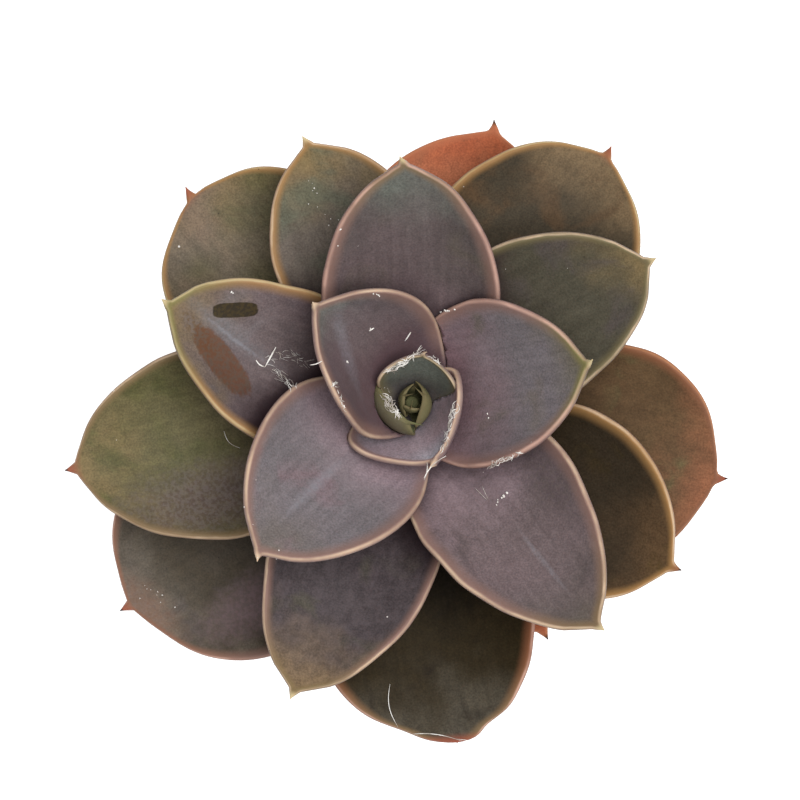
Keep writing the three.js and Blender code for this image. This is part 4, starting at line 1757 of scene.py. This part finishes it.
    def _strew(self, bm: bmesh.types.BMesh, group: Specks, draw: random.Random) -> None:
        """Adds a group's flakes, each a flattened lump of a few faces.

        Args:
            bm: The shape that takes the flakes.
            group: The flakes.
            draw: Where the random numbers come from.
        """
        for _ in range(group.count):
            size = group.size * draw.uniform(0.4, 1.0)
            point = EYE.land(self.tree, self._between(group, draw), size * 0.3)
            if point is None:
                continue
            lump = bmesh.ops.create_icosphere(bm, subdivisions=1, radius=size * MM)["verts"]
            bmesh.ops.scale(bm, vec=(1.0, draw.uniform(0.4, 1.0), 0.4), verts=lump)
            turn = Matrix.Rotation(draw.uniform(0.0, 2 * math.pi), 3, "Z")
            bmesh.ops.rotate(bm, cent=(0, 0, 0), matrix=turn, verts=lump)
            bmesh.ops.translate(bm, vec=point, verts=lump)


@dataclass
class Stem:
    """The stout stem, ringed with the scars of leaves long gone.

    crown gives the heights of the rings above the shoulder. A row has scar_count scars, and they fade out
    over the heights of scars_end.
    """

    foot_z: float = 44.0
    foot_radius: float = 5.0
    shoulder: float = 60.0
    pitch: float = 0.6
    steps: int = 72
    scar: float = 0.35
    scar_height: float = 4.4
    scar_count: int = 5
    scars_end: tuple[float, float] = (84.0, 96.0)
    crown: tuple[float, ...] = (94.0, 100.0, 106.0, 111.0)
    green_from: float = 98.0

    def radius(self, z: float) -> float:
        """The stem's radius at a height, tapered at its foot and its top.

        Args:
            z: The height, in millimetres.

        Returns:
            The radius, in millimetres.
        """
        if z < self.shoulder:
            share = (z - self.foot_z) / (self.shoulder - self.foot_z)
            return lerp(self.foot_radius, Form.STEM_RADIUS, share)
        return Form.stem_radius(z)

    def shape(self, name: str, room: float = 0.0) -> bpy.types.Object:
        """Makes the stem's mesh.

        Args:
            name: The object's name.
            room: How much wider it is made, for the room that it needs.

        Returns:
            The stem, in place.
        """
        heights = (self.foot_z, self.shoulder, Form.SHOULDER_Z)
        rings = [(0.0, self.foot_z)] + [(self.radius(z), z) for z in heights]
        top = Form.STEM_TOP_Z
        rings += [(self.radius(z), z) for z in (*self.crown, top)] + [(0.0, top)]
        bm = turned(rings, {1: 1.5}, self.pitch, self.steps, closed=False)
        for vert in bm.verts:
            z = vert.co.z / MM
            angle = math.atan2(vert.co.y, vert.co.x)
            row = z / self.scar_height
            turn = math.cos(self.scar_count * angle + math.pi * round(row))
            ridge = math.cos(2 * math.pi * row) * smooth(-0.4, 0.9, turn)
            fade = smooth(self.foot_z + 2, self.shoulder, z) * (1.0 - smooth(*self.scars_end, z))
            grow = 1.0 + (self.scar * fade * ridge + room) / Form.STEM_RADIUS
            vert.co.x *= grow
            vert.co.y *= grow
        bmesh.ops.translate(bm, vec=STEM_OFFSET * MM, verts=bm.verts)
        return finished(bm, name)

    def build(self, effects: Effects) -> None:
        """Makes and dresses the stem.

        Args:
            effects: The shared effects.
        """
        stem = self.shape("old_stem")

        def paint(graph: Graph) -> tuple[Value, Value, Value]:
            """Grey cork with brown cracks, green at the growing tip.

            Args:
                graph: The material's graph.

            Returns:
                The colour, the roughness and the height.
            """
            bark, height = effects.grains(graph, Tone.CORK, Tone.UMBER, 1.8)
            z = graph.parts(graph.place())[2]
            young = graph.step(z, self.green_from * MM, Form.LAST_Z * MM)
            return graph.mix(young, bark, Tone.MOSS.rgba), None, height

        material = Surface(roughness=0.8, bump=0.6, bump_depth=0.5).finish("corky_bark", paint)
        dress(stem, material, "stem", "stem")


@dataclass
class Soil:
    """The gritty soil that fills the pot to below its rim.

    Each of the lumps is a size and a weight. strewn is the share of the top that the stones lie on, and
    small_stones above 1 makes more of them small.
    """

    bottom: float = 7.4
    top: float = 73.0
    bottom_radius: float = 23.9
    step_z: float = 60.0
    step_radius: float = 36.2
    top_radius: float = 38.6
    pitch: float = 1.1
    steps: int = 150
    crumb: float = 0.75
    lumps: tuple[tuple[float, float], ...] = ((6.0, 0.9), (1.9, 0.8), (0.9, 0.35))
    mound: float = 1.6
    mound_size: float = 15.0
    stones: int = 300
    stone_sizes: tuple[float, float] = (0.55, 1.9)
    small_stones: float = 2.2
    strewn: tuple[float, float] = (0.05, 0.93)
    seed: int = 11

    def height(self, x: float, y: float) -> float:
        """Height of the soil's crumbly top, in millimetres, with a low mound at the stem.

        Args:
            x: To the right of the pot's middle.
            y: Away from the viewer.

        Returns:
            The height.
        """
        spot = Vector((x, y, 0.0))
        lumps = sum(noise.noise(spot / size) * weight for size, weight in self.lumps)
        mound = self.mound * math.exp(-(((spot - STEM_OFFSET).length / self.mound_size) ** 2))
        return self.top + self.crumb * lumps + mound

    def build(self, effects: Effects) -> None:
        """Makes and dresses the soil and the stones on it.

        Args:
            effects: The shared effects.
        """
        rings = (
            (0.0, self.bottom),
            (self.bottom_radius, self.bottom),
            (self.step_radius, self.step_z),
            (self.top_radius, self.top),
            (0.0, self.top),
        )
        bm = turned(rings, {3: 1.2}, self.pitch, self.steps, closed=False)
        for vert in bm.verts:
            x, y, z = vert.co / MM
            if z > self.top - 1.0:
                fade = 1.0 - smooth(self.top_radius - 2.0, self.top_radius, math.hypot(x, y))
                vert.co.z = lerp(z, self.height(x, y), fade) * MM
        soil = finished(bm, "soil_bed")

        def paint(graph: Graph) -> tuple[Value, Value, Value]:
            """Dark peat with paler crumbs."""
            color, height = effects.grains(graph, Tone.UMBER, Tone.PEAT, 2.2)
            return color, None, height

        material = Surface(roughness=0.9, bump=0.9, bump_depth=0.8).finish("peat", paint)
        dress(soil, material, "soil", "soil")
        self._scatter(effects)

    def _scatter(self, effects: Effects) -> None:
        """Makes the stones, each a lump of a few faces half sunk in the soil.

        Args:
            effects: The shared effects.
        """
        draw = random.Random(self.seed)
        bm = bmesh.new()
        shade = bm.verts.layers.float.new("shade")
        for _ in range(self.stones):
            radius = math.sqrt(draw.uniform(*self.strewn)) * (self.top_radius - 1.0)
            angle = draw.uniform(0.0, 2 * math.pi)
            spot = Vector((radius * math.cos(angle), radius * math.sin(angle), 0.0))
            size = lerp(*self.stone_sizes, draw.random() ** self.small_stones)
            tone = draw.random()
            if (spot - STEM_OFFSET).length < Form.STEM_RADIUS + size + 0.5:
                continue
            lump = bmesh.ops.create_icosphere(bm, subdivisions=1, radius=size * MM)["verts"]
            for vert in lump:
                vert.co *= draw.uniform(0.8, 1.15)
                vert[shade] = tone
            turn = Matrix.Rotation(draw.uniform(0, 6.28), 3, (draw.random(), draw.random(), 1.0))
            bmesh.ops.rotate(bm, cent=(0, 0, 0), matrix=turn, verts=lump)
            bmesh.ops.scale(bm, vec=(1.0, draw.uniform(0.7, 1.0), draw.uniform(0.55, 0.8)), verts=lump)
            spot.z = self.height(spot.x, spot.y) + 0.25 * size
            bmesh.ops.translate(bm, vec=spot * MM, verts=lump)
        grit = finished(bm, "grit")

        def paint(graph: Graph) -> tuple[Value, Value, Value]:
            """Pumice and bark, each stone in its own shade.

            Args:
                graph: The material's graph.

            Returns:
                The colour, the roughness and the height.
            """
            own = graph.attribute("shade")
            stone = graph.mix(own, Tone.UMBER.rgba, Tone.PUMICE.rgba)
            color, height = effects.grains(graph, Tone.PUMICE, Tone.UMBER, 0.6)
            return graph.mix(0.3, stone, color), None, height

        material = Surface(roughness=0.85, bump=0.5, bump_depth=0.2).finish("pumice", paint)
        dress(grit, material, "soil")


@dataclass
class Pot:
    """A plain turned clay pot, with a rim band and one drain hole."""

    # The rounding of each corner of the profile, from the drain hole's lower edge outwards and up
    ROUNDS = {0: 0.6, 1: 2.2, 2: 0.7, 3: 1.1, 4: 2.2, 5: 2.2, 6: 1.5, 7: 2.0, 8: 1.0}

    height: float = 80.0
    band_height: float = 19.0
    rim_radius: float = 44.5
    band_step: float = 2.6
    band_slope: float = 0.8
    foot_radius: float = 29.5
    wall: float = 5.2
    floor: float = 7.0
    hole: float = 6.0
    pitch: float = 2.4
    steps: int = 192

    def build(self, effects: Effects) -> None:
        """Makes and dresses the pot.

        Args:
            effects: The shared effects.
        """
        band_z = self.height - self.band_height
        wall_radius = self.rim_radius - self.band_step
        profile = (
            (self.hole, 0.0),
            (self.foot_radius, 0.0),
            (wall_radius, band_z),
            (self.rim_radius, band_z + self.band_slope),
            (self.rim_radius, self.height),
            (self.rim_radius - self.wall, self.height),
            (wall_radius - self.wall, band_z),
            (self.foot_radius - self.wall, self.floor),
            (self.hole, self.floor),
        )
        bm = turned(profile, self.ROUNDS, self.pitch, self.steps, closed=True)
        dress(finished(bm, "clay_pot"), self.material(effects), "pot", "pot")

    def material(self, effects: Effects) -> bpy.types.Material:
        """Fired clay with turning lines and lime bloom near its foot and its rim.

        Args:
            effects: The shared effects.

        Returns:
            The new material.
        """

        def paint(graph: Graph) -> tuple[Value, Value, Value]:
            """Lays grain, turning lines, lime and damp over one another.

            Args:
                graph: The material's graph.

            Returns:
                The colour, the roughness and the height.
            """
            place = graph.place()
            z = graph.parts(place)[2]
            fired, grain = effects.grains(graph, Tone.CLAY, Tone.CLAY_DARK, 9.0)
            color = graph.mix(0.45, Tone.CLAY.rgba, fired)
            lines = graph.grain(graph.point(0.0, 0.0, z), 0.9, 3)
            color = graph.mix(graph.product(lines, 0.25), color, Tone.CLAY_PALE.rgba)
            low = graph.fall(z, 4 * MM, 34 * MM)
            high = graph.step(z, 52 * MM, 76 * MM)
            salt = graph.step(graph.grain(place, 8, 5, 0.8), 0.46, 0.68)
            reach = graph.product(graph.math("MAXIMUM", low, high), salt)
            color = graph.mix(graph.product(reach, 0.5), color, Tone.LIME.rgba)
            specks = effects.specks.put(graph, Color=color, Place=place, Dust=0.2, Pores=0.4)
            height = graph.math("MULTIPLY_ADD", lines, 0.7, graph.product(grain, 0.5))
            roughness = graph.math("MULTIPLY_ADD", reach, 0.15, 0.72)
            return specks.outputs["Color"], roughness, height

        return Surface(bump=0.45, bump_depth=0.35).finish("fired_clay", paint)


@dataclass
class Studio:
    """A pale floor, soft light from above and a camera that looks straight down."""

    WHITE = (1.0, 1.0, 1.0, 1.0)
    SHEET = (0.6, 0.6, 0.6, 1.0)

    floor_size: float = 3.0
    glow: float = 0.8
    sky: float = 0.36
    lamp: float = 20.0
    lamp_size: float = 0.9
    lamp_place: tuple[float, float, float] = (260.0, 60.0, 1300.0)

    def build(self) -> None:
        """Makes the floor, the light and the camera."""
        self._lay_floor()
        self._light()
        self._place_camera()
        bpy.context.scene.view_settings.view_transform = "Standard"

    def _lay_floor(self) -> None:
        """Lays a glowing white sheet below the pot."""
        bm = bmesh.new()
        bmesh.ops.create_grid(bm, x_segments=2, y_segments=2, size=self.floor_size)
        floor = finished(bm, "studio_floor")

        def paint(graph: Graph) -> tuple[Value, Optional[Value], Optional[Value]]:
            """A white sheet."""
            return self.SHEET, None, None

        material = Surface(roughness=0.9).finish("white_sheet", paint)
        shader = material.node_tree.nodes["Principled BSDF"]
        shader.inputs["Emission Color"].default_value = self.WHITE
        shader.inputs["Emission Strength"].default_value = self.glow
        floor.data.materials.append(material)

    def _light(self) -> None:
        """Makes the white sky and the lamp overhead."""
        world = bpy.data.worlds.new("studio")
        world.use_nodes = True
        sky = world.node_tree.nodes["Background"]
        sky.inputs["Color"].default_value = self.WHITE
        sky.inputs["Strength"].default_value = self.sky
        bpy.context.scene.world = world
        lamp = bpy.data.lights.new("overhead", "AREA")
        lamp.energy = self.lamp
        lamp.size = self.lamp_size
        stand = bpy.data.objects.new("overhead", lamp)
        stand.location = Vector(self.lamp_place) * MM
        stand.rotation_euler = (-stand.location).to_track_quat("-Z", "Y").to_euler()
        bpy.context.scene.collection.objects.link(stand)

    @staticmethod
    def _place_camera() -> None:
        """Makes the camera where the photo was taken from."""
        eye = bpy.data.cameras.new("eye")
        eye.lens = EYE.lens
        eye.sensor_width = EYE.sensor
        eye.clip_start = 0.01
        camera = bpy.data.objects.new("eye", eye)
        camera.location = Vector(EYE.place) * MM
        bpy.context.scene.collection.objects.link(camera)
        bpy.context.scene.camera = camera


def main() -> None:
    """Builds the plant, its pot and the studio."""
    logging.basicConfig(level=logging.INFO, format="%(message)s")
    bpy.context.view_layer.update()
    effects = Effects()
    stem = Stem()
    stem.build(effects)
    rosette = Rosette()
    rosette.build(effects, stem.shape("stem_room", Rosette.gap))
    Litter().build(rosette.blades)
    Soil().build(effects)
    Pot().build(effects)
    Studio().build()


if __name__ == "__main__":
    main()
